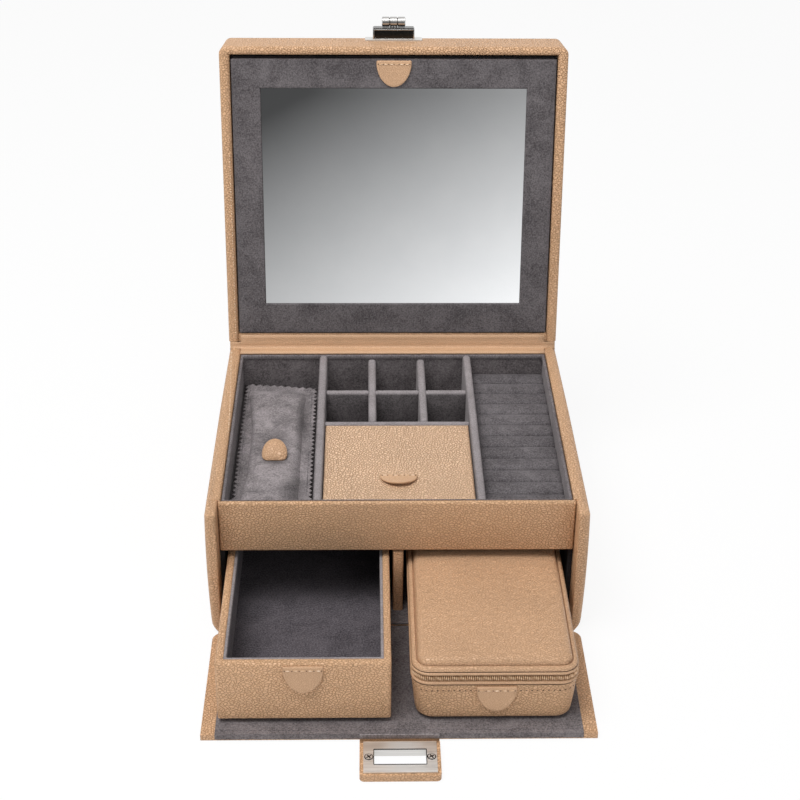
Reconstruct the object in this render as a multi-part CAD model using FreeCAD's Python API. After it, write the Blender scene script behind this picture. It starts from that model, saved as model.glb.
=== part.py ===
"""Leather jewellery case, opened as it stands on a table.

Millimetres, +Z up. The origin is on the table under the middle of the case, +X to the right of
someone who looks into the case, +Y towards its back. The lid stands open, the front flap lies on
the table, and the drawer and the travel case are pulled out over the flap.
"""
import FreeCAD, Part
import math
import os

Vec = FreeCAD.Vector
X_AXIS = Vec(1, 0, 0)
Z_AXIS = Vec(0, 0, 1)
NEAR = 0.01               # counts as on a plane
ALONG = 0.9               # counts as parallel to an axis

# Body of the case
case_w = 250.0            # over the two side walls
case_d = 231.0            # front edges of the side walls to the back
rim_h = 96.0              # table to the rim
side_wall_t = 8.0
back_wall_t = 10.0
base_t = 6.0
bay_lining_t = 1.0        # suede on the floor of the two bays
edge_r = 1.8              # leather turned round the edge of a thick board
thin_edge_r = 0.9         # the same on a thin board or a small fitting
hinge_leather_t = 1.0     # leather alone, where it bends as a hinge

# Tray in the upper half
tray_lining_t = 1.5       # suede on card
lining_drop = 1.2         # rim of the body down to the edge of the lining
fascia_recess = 14.5      # front edges of the side walls back to the fascia
fascia_t = 4.0
fascia_drop = 0.3         # rim of the body down to the top of the fascia
fascia_h = 38.5
deck_t = 3.0
deck_drop = 2.0           # lower edge of the fascia down to the underside of the tray
divider_t = 6.0           # suede folded over card
pouch_bay_w = 59.2
ring_bay_w = 56.0
column_count = 3          # columns of small compartments
last_column_less = 1.8    # right column narrower than the others
rear_row_d = 46.7
front_row_d = 39.3
long_divider_drop = 1.4   # rim down to the two long dividers
short_divider_drop = 4.5  # rim down to the dividers of the small compartments
divider_edge_r = 1.2

# Leather lid of the front compartment
comp_lid_drop = 4.0       # rim down to the top of the lid
comp_lid_t = 4.0
comp_lid_gap = 0.6
ledge_t = 3.5             # strips that carry the lid
comp_tab_inset = 18.5     # front edge of the lid back to the round end of its tab

# Ring rolls
roll_pitch = 15.3         # the rolls fill the bay, so their true pitch is a little off
roll_top_drop = 16.0      # rim down to the top of the rolls
roll_sag = 4.5            # top of a roll down to the groove beside it
roll_gap = 0.3

# Lower bays
left_bay_w = 114.4
bay_divider_t = 7.0
glide_gap = 0.2           # bay floor to what slides on it

# Drawer
drawer_side_gap = 3.0
drawer_back_gap = 10.5    # back wall to the shut drawer
drawer_top_gap = 3.2      # underside of the tray down to the drawer
drawer_wall_t = 3.5
drawer_bottom_t = 2.5
drawer_lining_t = 1.4
drawer_lining_drop = 1.0
drawer_out = 110.0        # fascia to the drawer's front in the open position

# Travel case
travel_side_gap = 3.3
travel_l = 165.0
travel_top_gap = 4.7      # underside of the tray down to the travel case
travel_out = 110.0
travel_corner_r = 11.0
travel_wall_t = 3.0       # leather on card
zip_drop = 11.7           # top of the travel case down to the middle of the zip
zip_w = 4.8
zip_inset = 2.0
zip_tape_t = 1.6
pad_inset = 4.8           # edge of the lid in to its raised top pad
pad_rise = 4.2            # ledge round the pad up to its top
pad_edge_r = 2.2
slider_l = 9.0
slider_gap = 0.4          # slider to the leather above and below the zip
slider_t = 2.7
slider_end = 16.0         # back of the travel case to the middle of the closed slider
pull_l = 14.0
pull_w = 3.2
pull_t = 0.9

# Lid
lid_open_deg = 97.4
rim_gap = 0.3             # body rim to lid rim when the lid is shut
lid_top_t = 4.0
lid_wall_t = 6.0
lid_corner_r = 5.5
lid_edge_r = 2.0
spine_t = 3.8             # leather spine behind the lid
seam_gap = 0.2
hinge_strip_t = 1.4
hinge_strip_gap = 0.4     # strip to the back face of the body
lid_lining_t = 1.0

# Mirror panel in the lid
panel_side_gap = 0.8
panel_top_gap = 1.7
panel_hinge_gap = 0.5
panel_sink = 2.0          # lid rim back to the face of the panel
panel_frame_t = 3.0
panel_back_t = 3.0
mirror_side = 20.9        # side edge of the panel to the mirror
mirror_low = 24.0         # hinge edge of the panel to the mirror
mirror_high = 22.8        # upper edge of the panel to the mirror
mirror_t = 2.0
mirror_gap = 0.2

# Turn lock on the front of the lid
lock_plate_side = 5.8     # block to the end of the plate
lock_plate_edge = 1.0     # block to the long edge of the plate
lock_top_gap = 2.05       # plate to the top of the lid
lock_plate_t = 1.0
lock_side_gap = 0.8       # block to the slot that goes over it, each end
lock_front_gap = 1.5      # the same across the slot
lock_block_h = 8.3
lock_bevel = 0.8
knob_w = 17.2
knob_r = 3.6
knob_gap = 0.3            # block to the underside of the knob
knob_groove = 0.9         # depth of the two grooves that part the knob into three ridges
stem_r = 2.5
stem_gap = 0.25

# Front flap
flap_front_gap = 0.2      # front of the body to the lining of the shut flap
flap_lap = 6.6            # rim of the body up to the edge of the shut flap
flap_side_gap = 0.5       # flap narrower than the case, each side
flap_board_t = 4.2
flap_lining_t = 1.0
flap_margin = 9.0         # leather left bare beside the lining
flap_corner_r = 8.0
flap_lip_t = 0.5          # lining turned over the front edge
joint_gap = 0.3

# Clasp tab on the flap
clasp_tab_side = 2.3      # steel plate to the edge of the tab
clasp_tab_t = 4.4
clasp_hinge_l = 5.5       # bare leather between the flap and the stiff tab
clasp_hinge_gap = 0.65
clasp_corner_r = 3.0
slot_w = 32.0
slot_d = 13.0
slot_wall_t = 1.0         # steel collar in the slot
slot_start = 8.5          # hinge end of the stiff tab to the slot
slot_end = 9.5            # slot to the free end of the tab
slot_plate_side = 6.7     # slot to the end of the plate
slot_plate_edge = 7.25    # slot to the long edge of the plate
slot_plate_t = 1.0

# Leather pull tabs
tab_t = 1.6
tab_w = 25.4
drawer_tab_l = 22.0
travel_tab_l = 20.6
panel_tab_l = 19.2
comp_tab_l = 14.4
tab_drop = 2.2            # edge of a front down to the straight end of its tab
travel_tab_drop = 4.2     # zip down to the straight end of the tab below it

# Suede pouch
pouch_side_gap = 2.0
pouch_front_gap = 3.5
pouch_back_gap = 2.0
pouch_slant = 7.0         # right back corner lies that much nearer the front
pouch_thick = 15.4
pouch_hem_z = 10.0        # floor of the tray to the pinked hem
pouch_hem_t = 1.2
pouch_hem_w = 6.0         # seam to the tips of the pinked edge
pouch_crown_in = 14.0     # seam in to the flat of the crown
pouch_foot_in = 6.0       # seam in to the foot
pouch_corner_r = 5.5
pouch_steps = 5           # bands above and below the seam
pouch_floor_gap = 0.3
pink_pitch = 5.5
pink_depth = 2.4
pouch_tab_w = 18.0
pouch_tab_l = 14.4
pouch_tab_tilt = 29.0
pouch_tab_y = -11.0

# Levels and planes that several pieces share
half_w = case_w / 2
front_y = -case_d / 2
back_y = case_d / 2
inner_x = half_w - side_wall_t
inner_back_y = back_y - back_wall_t
bay_floor_z = base_t + bay_lining_t
fascia_y = front_y + fascia_recess
fascia_z = rim_h - fascia_drop - fascia_h
deck_z = fascia_z - deck_drop
tray_z = deck_z + deck_t + tray_lining_t
tray_left = -inner_x + tray_lining_t
tray_right = inner_x - tray_lining_t
tray_front = fascia_y + fascia_t + tray_lining_t
tray_back = inner_back_y - tray_lining_t
left_divider_x = tray_left + pouch_bay_w
middle_left = left_divider_x + divider_t
right_divider_x = tray_right - ring_bay_w - divider_t
cross_y = tray_back - rear_row_d - divider_t
comp_back = cross_y - front_row_d - divider_t
glide_z = bay_floor_z + glide_gap
lid_rim_z = rim_h + rim_gap
lid_inner_x = half_w - lid_wall_t
lid_back_y = back_y - spine_t - seam_gap
lid_pivot = Vec(0, back_y, rim_h + rim_gap / 2)
flap_gap = flap_board_t + flap_lining_t + flap_front_gap
flap_l = rim_h + flap_lap
clasp_reach = flap_l + flap_lip_t + clasp_hinge_l + clasp_hinge_gap
clasp_tab_x = slot_w / 2 + slot_plate_side + clasp_tab_side
lock_z = clasp_reach + slot_start + slot_d / 2    # the slot comes there when the flap is shut
lock_x = slot_w / 2 - lock_side_gap
lock_half_d = slot_d / 2 - lock_front_gap
lid_top_z = lock_z + lock_half_d + lock_plate_edge + lock_top_gap
lid_under_z = lid_top_z - lid_top_t

parts = {}


def block(x0, x1, y0, y1, z0, z1):
    """Board between two values on each axis."""
    return Part.makeBox(x1 - x0, y1 - y0, z1 - z0, Vec(x0, y0, z0))


def ease(shape, radius, wanted):
    """Round the straight edges whose middle and direction pass the test."""
    chosen = []
    for edge in shape.Edges:
        ends = edge.Vertexes
        if len(ends) == 2:
            run = ends[1].Point - ends[0].Point
            middle = (ends[0].Point + ends[1].Point) * 0.5
            if wanted(middle, run / run.Length):
                chosen.append(edge)
    return shape.makeFillet(radius, chosen)


def upright(middle, along):
    return abs(along.z) > ALONG


def rounded_wire(x0, x1, y0, y1, z, radius):
    """Closed outline of a rectangle with round corners, level at height z."""
    half = radius * (1 - math.sqrt(0.5))
    corners = [
        (Vec(x0, y0 + radius, z), Vec(x0 + half, y0 + half, z), Vec(x0 + radius, y0, z)),
        (Vec(x1 - radius, y0, z), Vec(x1 - half, y0 + half, z), Vec(x1, y0 + radius, z)),
        (Vec(x1, y1 - radius, z), Vec(x1 - half, y1 - half, z), Vec(x1 - radius, y1, z)),
        (Vec(x0 + radius, y1, z), Vec(x0 + half, y1 - half, z), Vec(x0, y1 - radius, z)),
    ]
    edges = []
    for index, (start, middle, end) in enumerate(corners):
        edges.append(Part.Arc(start, middle, end).toShape())
        following = corners[(index + 1) % 4][0]
        edges.append(Part.makeLine(end, following))
    return Part.Wire(edges)


def rounded_plate(x0, x1, y0, y1, z0, z1, radius):
    """Plate with round corners in plan."""
    return Part.Face(rounded_wire(x0, x1, y0, y1, z0, radius)).extrude(Vec(0, 0, z1 - z0))


def pull_tab(width, length):
    """Half-round tab: straight end on y = 0, round end at y = -length, underside on z = 0."""
    radius = width / 2
    turn_y = radius - length
    left = Vec(-radius, turn_y, 0)
    right = Vec(radius, turn_y, 0)
    outline = [
        Part.makeLine(Vec(-radius, 0, 0), left),
        Part.Arc(left, Vec(0, -length, 0), right).toShape(),
        Part.makeLine(right, Vec(radius, 0, 0)),
        Part.makeLine(Vec(radius, 0, 0), Vec(-radius, 0, 0)),
    ]
    return Part.Face(Part.Wire(outline)).extrude(Vec(0, 0, tab_t))


def on_front(tab, x, y, z):
    """Hang a tab on an upright front, straight end up."""
    tab.rotate(Vec(0, 0, 0), X_AXIS, 90)
    tab.translate(Vec(x, y, z))
    return tab


def opened(shape):
    """Swing a piece of the shut lid to where the open lid stands."""
    shape.rotate(lid_pivot, X_AXIS, -lid_open_deg)
    return shape


def body_carcass():
    """Walls, base, fascia, bay divider and deck, each a leather or suede covered board."""
    parts["base_board"] = block(-inner_x, inner_x, front_y, inner_back_y, 0, base_t)
    parts["bay_floor_lining"] = block(-inner_x, inner_x, front_y, inner_back_y, base_t, bay_floor_z)
    for side, x0, x1 in (("left", -half_w, -inner_x), ("right", inner_x, half_w)):
        wall = block(x0, x1, front_y, back_y, 0, rim_h)
        outer_x = math.copysign(half_w, x0 + x1)

        def turned_edge(middle, along, outer_x=outer_x):
            on_outside = abs(middle.x - outer_x) < NEAR
            on_rim = abs(middle.z - rim_h) < NEAR
            on_front_edge = abs(middle.y - front_y) < NEAR and abs(along.z) > ALONG
            return (on_outside and middle.z > NEAR) or (on_rim and abs(along.y) > ALONG) or on_front_edge

        parts[side + "_side_wall"] = ease(wall, edge_r, turned_edge)
    back_top = rim_h - hinge_strip_t - seam_gap
    parts["back_wall"] = block(-inner_x, inner_x, inner_back_y, back_y, 0, back_top)
    strip = block(-inner_x, inner_x, inner_back_y, back_y - hinge_strip_gap, back_top, rim_h - seam_gap)
    parts["hinge_strip_body"] = ease(strip, hinge_strip_t / 2, lambda m, d: abs(d.x) > ALONG
                                     and m.z > back_top + NEAR and m.y < inner_back_y + NEAR)
    fascia = block(-inner_x, inner_x, fascia_y, fascia_y + fascia_t, fascia_z, rim_h - fascia_drop)
    parts["front_fascia"] = ease(fascia, edge_r, lambda m, d: abs(d.x) > ALONG and m.y < fascia_y + NEAR)
    divider_x = -inner_x + left_bay_w
    divider = block(divider_x, divider_x + bay_divider_t, fascia_y, inner_back_y, bay_floor_z, deck_z)
    parts["bay_divider"] = ease(divider, edge_r, lambda m, d: abs(d.z) > ALONG and m.y < fascia_y + NEAR)
    parts["tray_deck"] = block(-inner_x, inner_x, fascia_y + fascia_t, inner_back_y,
                               deck_z, deck_z + deck_t)
    parts["flap_hinge_leather"] = block(-inner_x, inner_x, front_y - flap_gap + joint_gap, front_y, 0,
                                        hinge_leather_t)


def tray():
    """Suede lining, dividers and ledges of the tray."""
    top = rim_h - lining_drop
    lining = block(-inner_x, inner_x, fascia_y + fascia_t, inner_back_y, deck_z + deck_t, top)
    hollow = block(tray_left, tray_right, tray_front, tray_back, tray_z, top)
    parts["tray_lining"] = lining.cut(hollow)

    long_top = rim_h - long_divider_drop
    for side, x0 in (("left", left_divider_x), ("right", right_divider_x)):
        board = block(x0, x0 + divider_t, tray_front, tray_back, tray_z, long_top)
        parts[side + "_long_divider"] = ease(board, divider_edge_r, lambda m, d: abs(d.y) > ALONG
                                             and m.z > long_top - NEAR)

    short_top = rim_h - short_divider_drop

    def top_edge(middle, along):
        return middle.z > short_top - NEAR and abs(along.z) < NEAR

    front_board = block(middle_left, right_divider_x, comp_back, comp_back + divider_t, tray_z, short_top)
    parts["front_divider"] = ease(front_board, divider_edge_r, lambda m, d: abs(d.x) > ALONG
                                  and top_edge(m, d))
    shared_w = right_divider_x - middle_left - (column_count - 1) * divider_t
    column_w = (shared_w + last_column_less) / column_count
    for column in range(column_count):
        column_x = middle_left + column * (column_w + divider_t)
        column_end = min(column_x + column_w, right_divider_x)
        cross = block(column_x, column_end, cross_y, cross_y + divider_t, tray_z, short_top)
        parts["cross_divider_%d" % (column + 1)] = ease(cross, divider_edge_r, lambda m, d:
                                                        abs(d.x) > ALONG and top_edge(m, d))
        if column + 1 < column_count:
            short = block(column_end, column_end + divider_t, comp_back + divider_t, tray_back,
                          tray_z, short_top)
            parts["short_divider_%d" % (column + 1)] = ease(short, divider_edge_r, lambda m, d:
                                                            abs(d.y) > ALONG and top_edge(m, d))

    ledge_top = rim_h - comp_lid_drop - comp_lid_t
    for side, x0 in (("left", middle_left), ("right", right_divider_x - ledge_t)):
        parts["lid_ledge_" + side] = block(x0, x0 + ledge_t, tray_front, comp_back, tray_z, ledge_top)


def compartment_lid():
    """Leather lid over the front compartment, hinged along its back edge, with its half-moon tab."""
    top = rim_h - comp_lid_drop
    x0 = middle_left + comp_lid_gap
    x1 = right_divider_x - comp_lid_gap
    y0 = tray_front + comp_lid_gap
    y1 = comp_back - comp_lid_gap
    lid = block(x0, x1, y0, y1, top - comp_lid_t, top)
    parts["compartment_lid"] = ease(lid, edge_r, lambda m, d: m.z > top - NEAR)
    tab = pull_tab(tab_w, comp_tab_l)
    tab.translate(Vec((x0 + x1) / 2, y0 + comp_tab_inset + comp_tab_l, top))
    parts["compartment_tab"] = tab


def ring_rolls():
    """Row of sewn rolls that grip rings in the grooves between them."""
    x0 = right_divider_x + divider_t + roll_gap
    y0 = tray_front + roll_gap
    y1 = tray_back - roll_gap
    roll_count = round((y1 - y0) / roll_pitch)
    pitch = (y1 - y0) / roll_count
    top = rim_h - roll_top_drop
    groove = top - roll_sag
    edges = []
    for index in range(roll_count):
        start = y0 + index * pitch
        crest = Vec(x0, start + pitch / 2, top)
        edges.append(Part.Arc(Vec(x0, start, groove), crest, Vec(x0, start + pitch, groove)).toShape())
    edges.append(Part.makeLine(Vec(x0, y1, groove), Vec(x0, y1, tray_z)))
    edges.append(Part.makeLine(Vec(x0, y1, tray_z), Vec(x0, y0, tray_z)))
    edges.append(Part.makeLine(Vec(x0, y0, tray_z), Vec(x0, y0, groove)))
    profile = Part.Face(Part.Wire(edges))
    parts["ring_rolls"] = profile.extrude(Vec(tray_right - roll_gap - x0, 0, 0))


def pinked(start, end, inward):
    """Points of a zigzag cut edge from start to end, each notch cut inward."""
    run = end - start
    teeth = max(1, round(run.Length / pink_pitch))
    points = []
    for tooth in range(teeth):
        points.append(start + run * (tooth / teeth))
        points.append(start + run * ((tooth + 0.5) / teeth) + inward * pink_depth)
    return points


def pouch():
    """Soft suede pouch with a crown, a sewn hem with pinked edges, and its leather tab."""
    x0 = tray_left + pouch_side_gap
    x1 = left_divider_x - pouch_side_gap
    y0 = tray_front + pouch_front_gap
    y1 = tray_back - pouch_back_gap
    floor = tray_z + pouch_floor_gap
    crown = floor + pouch_thick
    hem_z = floor + pouch_hem_z
    wires = []
    for step in range(-pouch_steps, pouch_steps + 1):
        angle = step / pouch_steps * math.pi / 2
        draw_in = pouch_crown_in if step > 0 else pouch_foot_in
        rise = crown - hem_z if step > 0 else pouch_hem_z
        inset = pouch_hem_w + draw_in * (1 - math.cos(angle))
        wires.append(rounded_wire(x0 + inset, x1 - inset, y0 + inset, y1 - pouch_slant - inset,
                                  hem_z + rise * math.sin(angle), pouch_corner_r))
    body = Part.makeLoft(wires, True, True)
    front_left = Vec(x0, y0, hem_z)
    front_right = Vec(x1, y0, hem_z)
    back_right = Vec(x1, y1 - pouch_slant, hem_z)
    back_left = Vec(x0, y1, hem_z)
    outline = pinked(front_left, front_right, Vec(0, 1, 0))
    outline += pinked(front_right, back_right, Vec(-1, 0, 0))
    outline += pinked(back_right, back_left, Vec(0, -1, 0))
    outline += pinked(back_left, front_left, Vec(1, 0, 0))
    outline.append(front_left)
    hem = Part.Face(Part.makePolygon(outline)).extrude(Vec(0, 0, pouch_hem_t))
    parts["pouch_body"] = body.fuse(hem).removeSplitter()
    tab = pull_tab(pouch_tab_w, pouch_tab_l)
    tab.rotate(Vec(0, 0, 0), Z_AXIS, 180)
    tab.rotate(Vec(0, 0, 0), X_AXIS, pouch_tab_tilt)
    tab.translate(Vec((x0 + x1) / 2, pouch_tab_y, crown + seam_gap))
    parts["pouch_tab"] = tab


def drawer():
    """Open drawer of leather covered boards with a suede lining and a front tab."""
    x0 = -inner_x + drawer_side_gap
    x1 = -inner_x + left_bay_w - drawer_side_gap
    y0 = fascia_y - drawer_out
    y1 = inner_back_y - drawer_back_gap - drawer_out
    z0 = glide_z
    z1 = deck_z - drawer_top_gap
    wall = drawer_wall_t
    front = block(x0, x1, y0, y0 + wall, z0, z1)
    parts["drawer_front"] = ease(front, thin_edge_r, lambda m, d: m.y < y0 + NEAR or m.z > z1 - NEAR)
    back = block(x0, x1, y1 - wall, y1, z0, z1)
    parts["drawer_back"] = ease(back, thin_edge_r, lambda m, d: m.y > y1 - NEAR or m.z > z1 - NEAR)
    for side, xa in (("left", x0), ("right", x1 - wall)):
        board = block(xa, xa + wall, y0 + wall, y1 - wall, z0, z1)
        parts["drawer_" + side] = ease(board, thin_edge_r, lambda m, d: abs(d.y) > ALONG
                                       and m.z > z1 - NEAR)
    parts["drawer_bottom"] = block(x0 + wall, x1 - wall, y0 + wall, y1 - wall, z0, z0 + drawer_bottom_t)
    skin = drawer_lining_t
    floor = z0 + drawer_bottom_t
    top = z1 - drawer_lining_drop
    lining = block(x0 + wall, x1 - wall, y0 + wall, y1 - wall, floor, top)
    inset = wall + skin
    hollow = block(x0 + inset, x1 - inset, y0 + inset, y1 - inset, floor + skin, top)
    parts["drawer_lining"] = lining.cut(hollow)
    parts["drawer_tab"] = on_front(pull_tab(tab_w, drawer_tab_l), (x0 + x1) / 2, y0, z1 - tab_drop)


def travel_case():
    """Zipped travel case: base, lid with its raised pad, zip band, slider and front tab."""
    x0 = -inner_x + left_bay_w + bay_divider_t + travel_side_gap
    x1 = inner_x - travel_side_gap
    y0 = fascia_y - travel_out
    y1 = y0 + travel_l
    z0 = glide_z
    z1 = deck_z - travel_top_gap
    zip_mid = z1 - zip_drop
    zip_low = zip_mid - zip_w / 2
    zip_high = zip_mid + zip_w / 2

    def slab(inset, low, high):
        """Plan of the travel case drawn in by an inset, between two heights."""
        return rounded_plate(x0 + inset, x1 - inset, y0 + inset, y1 - inset, low, high,
                             travel_corner_r - inset)

    ledge_z = z1 - pad_rise
    hollow = slab(travel_wall_t, z0 + travel_wall_t, ledge_z - travel_wall_t)
    base = slab(0, z0, zip_low)
    bottom_edges = [edge for edge in base.Edges if edge.BoundBox.ZMax < z0 + NEAR]
    parts["travel_base"] = base.makeFillet(edge_r, bottom_edges).cut(hollow)
    band = slab(0, zip_high, ledge_z)
    ledge_edges = [edge for edge in band.Edges if edge.BoundBox.ZMin > ledge_z - NEAR]
    pad = slab(pad_inset, zip_high, z1)
    pad_edges = [edge for edge in pad.Edges if edge.BoundBox.ZMin > z1 - NEAR]
    lid = band.makeFillet(edge_r, ledge_edges).fuse(pad.makeFillet(pad_edge_r, pad_edges))
    parts["travel_lid"] = lid.removeSplitter().cut(hollow)
    tape = slab(zip_inset, zip_low, zip_high)
    parts["zip_band"] = tape.cut(slab(zip_inset + zip_tape_t, zip_low, zip_high))
    tab_z = zip_low - travel_tab_drop
    parts["travel_tab"] = on_front(pull_tab(tab_w, travel_tab_l), (x0 + x1) / 2, y0, tab_z)

    slider_x = x1 - zip_inset + seam_gap
    slider_y = y1 - slider_end
    slider = block(slider_x, slider_x + slider_t, slider_y - slider_l / 2, slider_y + slider_l / 2,
                   zip_low + slider_gap, zip_high - slider_gap)
    slider = ease(slider, thin_edge_r, lambda m, d: abs(d.x) > ALONG)
    pull = block(slider_x + slider_t, slider_x + slider_t + pull_t, slider_y - pull_w / 2,
                 slider_y + pull_w / 2, zip_mid - pull_l, zip_mid + pull_w / 2)
    pull = ease(pull, thin_edge_r, lambda m, d: abs(d.x) > ALONG)
    parts["zip_slider"] = slider.fuse(pull).removeSplitter()


def lid():
    """Lid shell, spine, inner hinge strip and lining, drawn shut and swung open."""
    top = block(-half_w, half_w, front_y, lid_back_y, lid_under_z, lid_top_z)
    top = ease(top, lid_corner_r, lambda m, d: upright(m, d) and m.y < front_y + NEAR)
    rim_edges = [edge for edge in top.Edges if edge.BoundBox.ZMin > lid_top_z - NEAR]
    parts["lid_top"] = opened(top.makeFillet(lid_edge_r, rim_edges))
    for side, x0, x1 in (("left", -half_w, -lid_inner_x), ("right", lid_inner_x, half_w)):
        wall = block(x0, x1, front_y, lid_back_y, lid_rim_z, lid_under_z)
        outer_x = math.copysign(half_w, x0 + x1)

        def outer_corner(middle, along, outer_x=outer_x):
            return upright(middle, along) and middle.y < front_y + NEAR and abs(middle.x - outer_x) < NEAR

        parts["lid_%s_wall" % side] = opened(ease(wall, lid_corner_r, outer_corner))
    front = block(-lid_inner_x, lid_inner_x, front_y, front_y + lid_wall_t, lid_rim_z, lid_under_z)
    parts["lid_front_wall"] = opened(front)
    strip_y = inner_back_y
    strip_z = lid_rim_z + seam_gap + hinge_strip_t
    rear = block(-lid_inner_x, lid_inner_x, strip_y, lid_back_y, strip_z, lid_under_z)
    parts["lid_rear_wall"] = opened(rear)
    strip = block(-lid_inner_x, lid_inner_x, strip_y, lid_back_y, lid_rim_z + seam_gap, strip_z)
    parts["hinge_strip_lid"] = opened(strip)
    spine = block(-half_w + edge_r, half_w - edge_r, lid_back_y + seam_gap, back_y - seam_gap / 2,
                  lid_rim_z + seam_gap, lid_top_z - lid_edge_r)
    parts["lid_spine"] = opened(ease(spine, spine_t / 4, lambda m, d: abs(d.x) > ALONG))
    parts["lid_lining"] = opened(block(-lid_inner_x, lid_inner_x, front_y + lid_wall_t, strip_y,
                                       lid_under_z - lid_lining_t, lid_under_z))


def mirror_panel():
    """Suede panel with its mirror, folding out of the lid on its lower edge."""
    x1 = lid_inner_x - panel_side_gap
    y0 = front_y + lid_wall_t + panel_top_gap
    y1 = inner_back_y - panel_hinge_gap
    face_z = lid_rim_z + panel_sink
    seat_z = face_z + panel_frame_t
    mirror_x = x1 - mirror_side
    mirror_y0 = y0 + mirror_high
    mirror_y1 = y1 - mirror_low
    frame = block(-x1, x1, y0, y1, face_z, seat_z)
    frame = ease(frame, divider_edge_r, lambda m, d: m.z < face_z + NEAR)
    window = block(-mirror_x, mirror_x, mirror_y0, mirror_y1, face_z, seat_z)
    parts["panel_frame"] = opened(frame.cut(window))
    glass = block(-mirror_x + mirror_gap, mirror_x - mirror_gap, mirror_y0 + mirror_gap,
                  mirror_y1 - mirror_gap, seat_z - mirror_t, seat_z)
    parts["mirror_glass"] = opened(glass)
    parts["panel_back"] = opened(block(-x1, x1, y0, y1, seat_z, seat_z + panel_back_t))
    tab = pull_tab(tab_w, panel_tab_l)
    tab.rotate(Vec(0, 0, 0), X_AXIS, 180)
    tab.translate(Vec(0, y0 + tab_drop, face_z))
    parts["panel_tab"] = opened(tab)


def turn_lock():
    """Base plate, bevelled block and the ridged knob that turns on its stem."""
    plate_y = front_y - lock_plate_t
    block_y = plate_y - lock_block_h
    plate_x = lock_x + lock_plate_side
    plate_half_d = lock_half_d + lock_plate_edge
    plate = block(-plate_x, plate_x, plate_y, front_y, lock_z - plate_half_d, lock_z + plate_half_d)
    parts["lock_plate"] = opened(ease(plate, edge_r, lambda m, d: abs(d.y) > ALONG))
    body = block(-lock_x, lock_x, block_y, plate_y, lock_z - lock_half_d, lock_z + lock_half_d)
    outer = [edge for edge in body.Edges if edge.BoundBox.YMax < block_y + NEAR]
    body = body.makeChamfer(lock_bevel, outer)
    bore = Part.makeCylinder(stem_r + stem_gap, lock_block_h, Vec(0, plate_y, lock_z), Vec(0, -1, 0))
    parts["lock_block"] = opened(body.cut(bore))

    knob_y = block_y - knob_gap - knob_r
    ridge = knob_w / 3
    neck = knob_r - knob_groove
    half = knob_w / 2
    ease_x = knob_groove / 2
    outline = [(-half, 0), (-half, neck), (-half + ease_x, knob_r)]
    for groove_x in (-ridge / 2, ridge / 2):
        outline += [(groove_x - ease_x, knob_r), (groove_x, neck), (groove_x + ease_x, knob_r)]
    outline += [(half - ease_x, knob_r), (half, neck), (half, 0), (-half, 0)]
    points = [Vec(x, knob_y - r, lock_z) for x, r in outline]
    ridges = Part.Face(Part.makePolygon(points)).revolve(Vec(0, knob_y, lock_z), X_AXIS, 360)
    stem = Part.makeCylinder(stem_r, plate_y - knob_gap - knob_y, Vec(0, knob_y, lock_z), Vec(0, 1, 0))
    parts["lock_knob"] = opened(ridges.fuse(stem).removeSplitter())


def flap():
    """Front flap lying on the table: leather board, suede lining turned over its front edge."""
    x1 = half_w - flap_side_gap
    y1 = front_y - flap_gap
    y0 = y1 - flap_l
    board = block(-x1, x1, y0, y1, 0, flap_board_t)
    board = ease(board, flap_corner_r, lambda m, d: upright(m, d) and m.y > y1 - NEAR)
    tongue_y = y0 - flap_lip_t - clasp_hinge_l
    tongue = block(-clasp_tab_x, clasp_tab_x, tongue_y, y0, 0, hinge_leather_t)
    parts["flap_board"] = board.fuse(tongue).removeSplitter()
    lining_x = x1 - flap_margin
    top = flap_board_t + flap_lining_t
    sheet = block(-lining_x, lining_x, y0 - flap_lip_t, front_y - joint_gap, flap_board_t, top)
    lip = block(-lining_x, lining_x, y0 - flap_lip_t, y0, hinge_leather_t, flap_board_t)
    parts["flap_lining"] = sheet.fuse(lip).removeSplitter()


def clasp_tab():
    """Stiff leather tab with a steel plate and collar round the slot that goes over the lock."""
    y1 = front_y - flap_gap - clasp_reach
    slot_y1 = y1 - slot_start
    slot_y0 = slot_y1 - slot_d
    y0 = slot_y0 - slot_end
    leather = block(-clasp_tab_x, clasp_tab_x, y0, y1, 0, clasp_tab_t)
    leather = ease(leather, clasp_corner_r, lambda m, d: upright(m, d) and m.y < y0 + NEAR)
    wall = slot_wall_t
    collar = block(-slot_w / 2 - wall, slot_w / 2 + wall, slot_y0 - wall, slot_y1 + wall, 0, clasp_tab_t)
    slot = block(-slot_w / 2, slot_w / 2, slot_y0, slot_y1, 0, clasp_tab_t + slot_plate_t)
    parts["clasp_tab_leather"] = leather.cut(collar)
    plate_x = slot_w / 2 + slot_plate_side
    plate = block(-plate_x, plate_x, slot_y0 - slot_plate_edge, slot_y1 + slot_plate_edge,
                  clasp_tab_t, clasp_tab_t + slot_plate_t)
    parts["clasp_slot_plate"] = plate.fuse(collar).removeSplitter().cut(slot)


body_carcass()
tray()
compartment_lid()
ring_rolls()
pouch()
drawer()
travel_case()
lid()
mirror_panel()
turn_lock()
flap()
clasp_tab()

os.makedirs("parts", exist_ok=True)
for name, shape in parts.items():
    shape.exportStep("parts/%s.step" % name)
    print("%-20s valid %s, %.1f cm3" % (name, shape.isValid(), shape.Volume / 1000))
print("pieces:", len(parts))
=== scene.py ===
# %% [markdown]
# # A leather jewellery case
# The case stands open on a table: lid up, front flap down, drawer and travel case pulled out.
# Its boards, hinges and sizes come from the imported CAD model, which loads first and stays as it is.
# This lesson adds what CAD leaves out: leather grain, suede nap, padding, stitches and the zip.

# %% Load the frame
import math

import bmesh
import bpy
from mathutils import Matrix, Vector, noise


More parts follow.
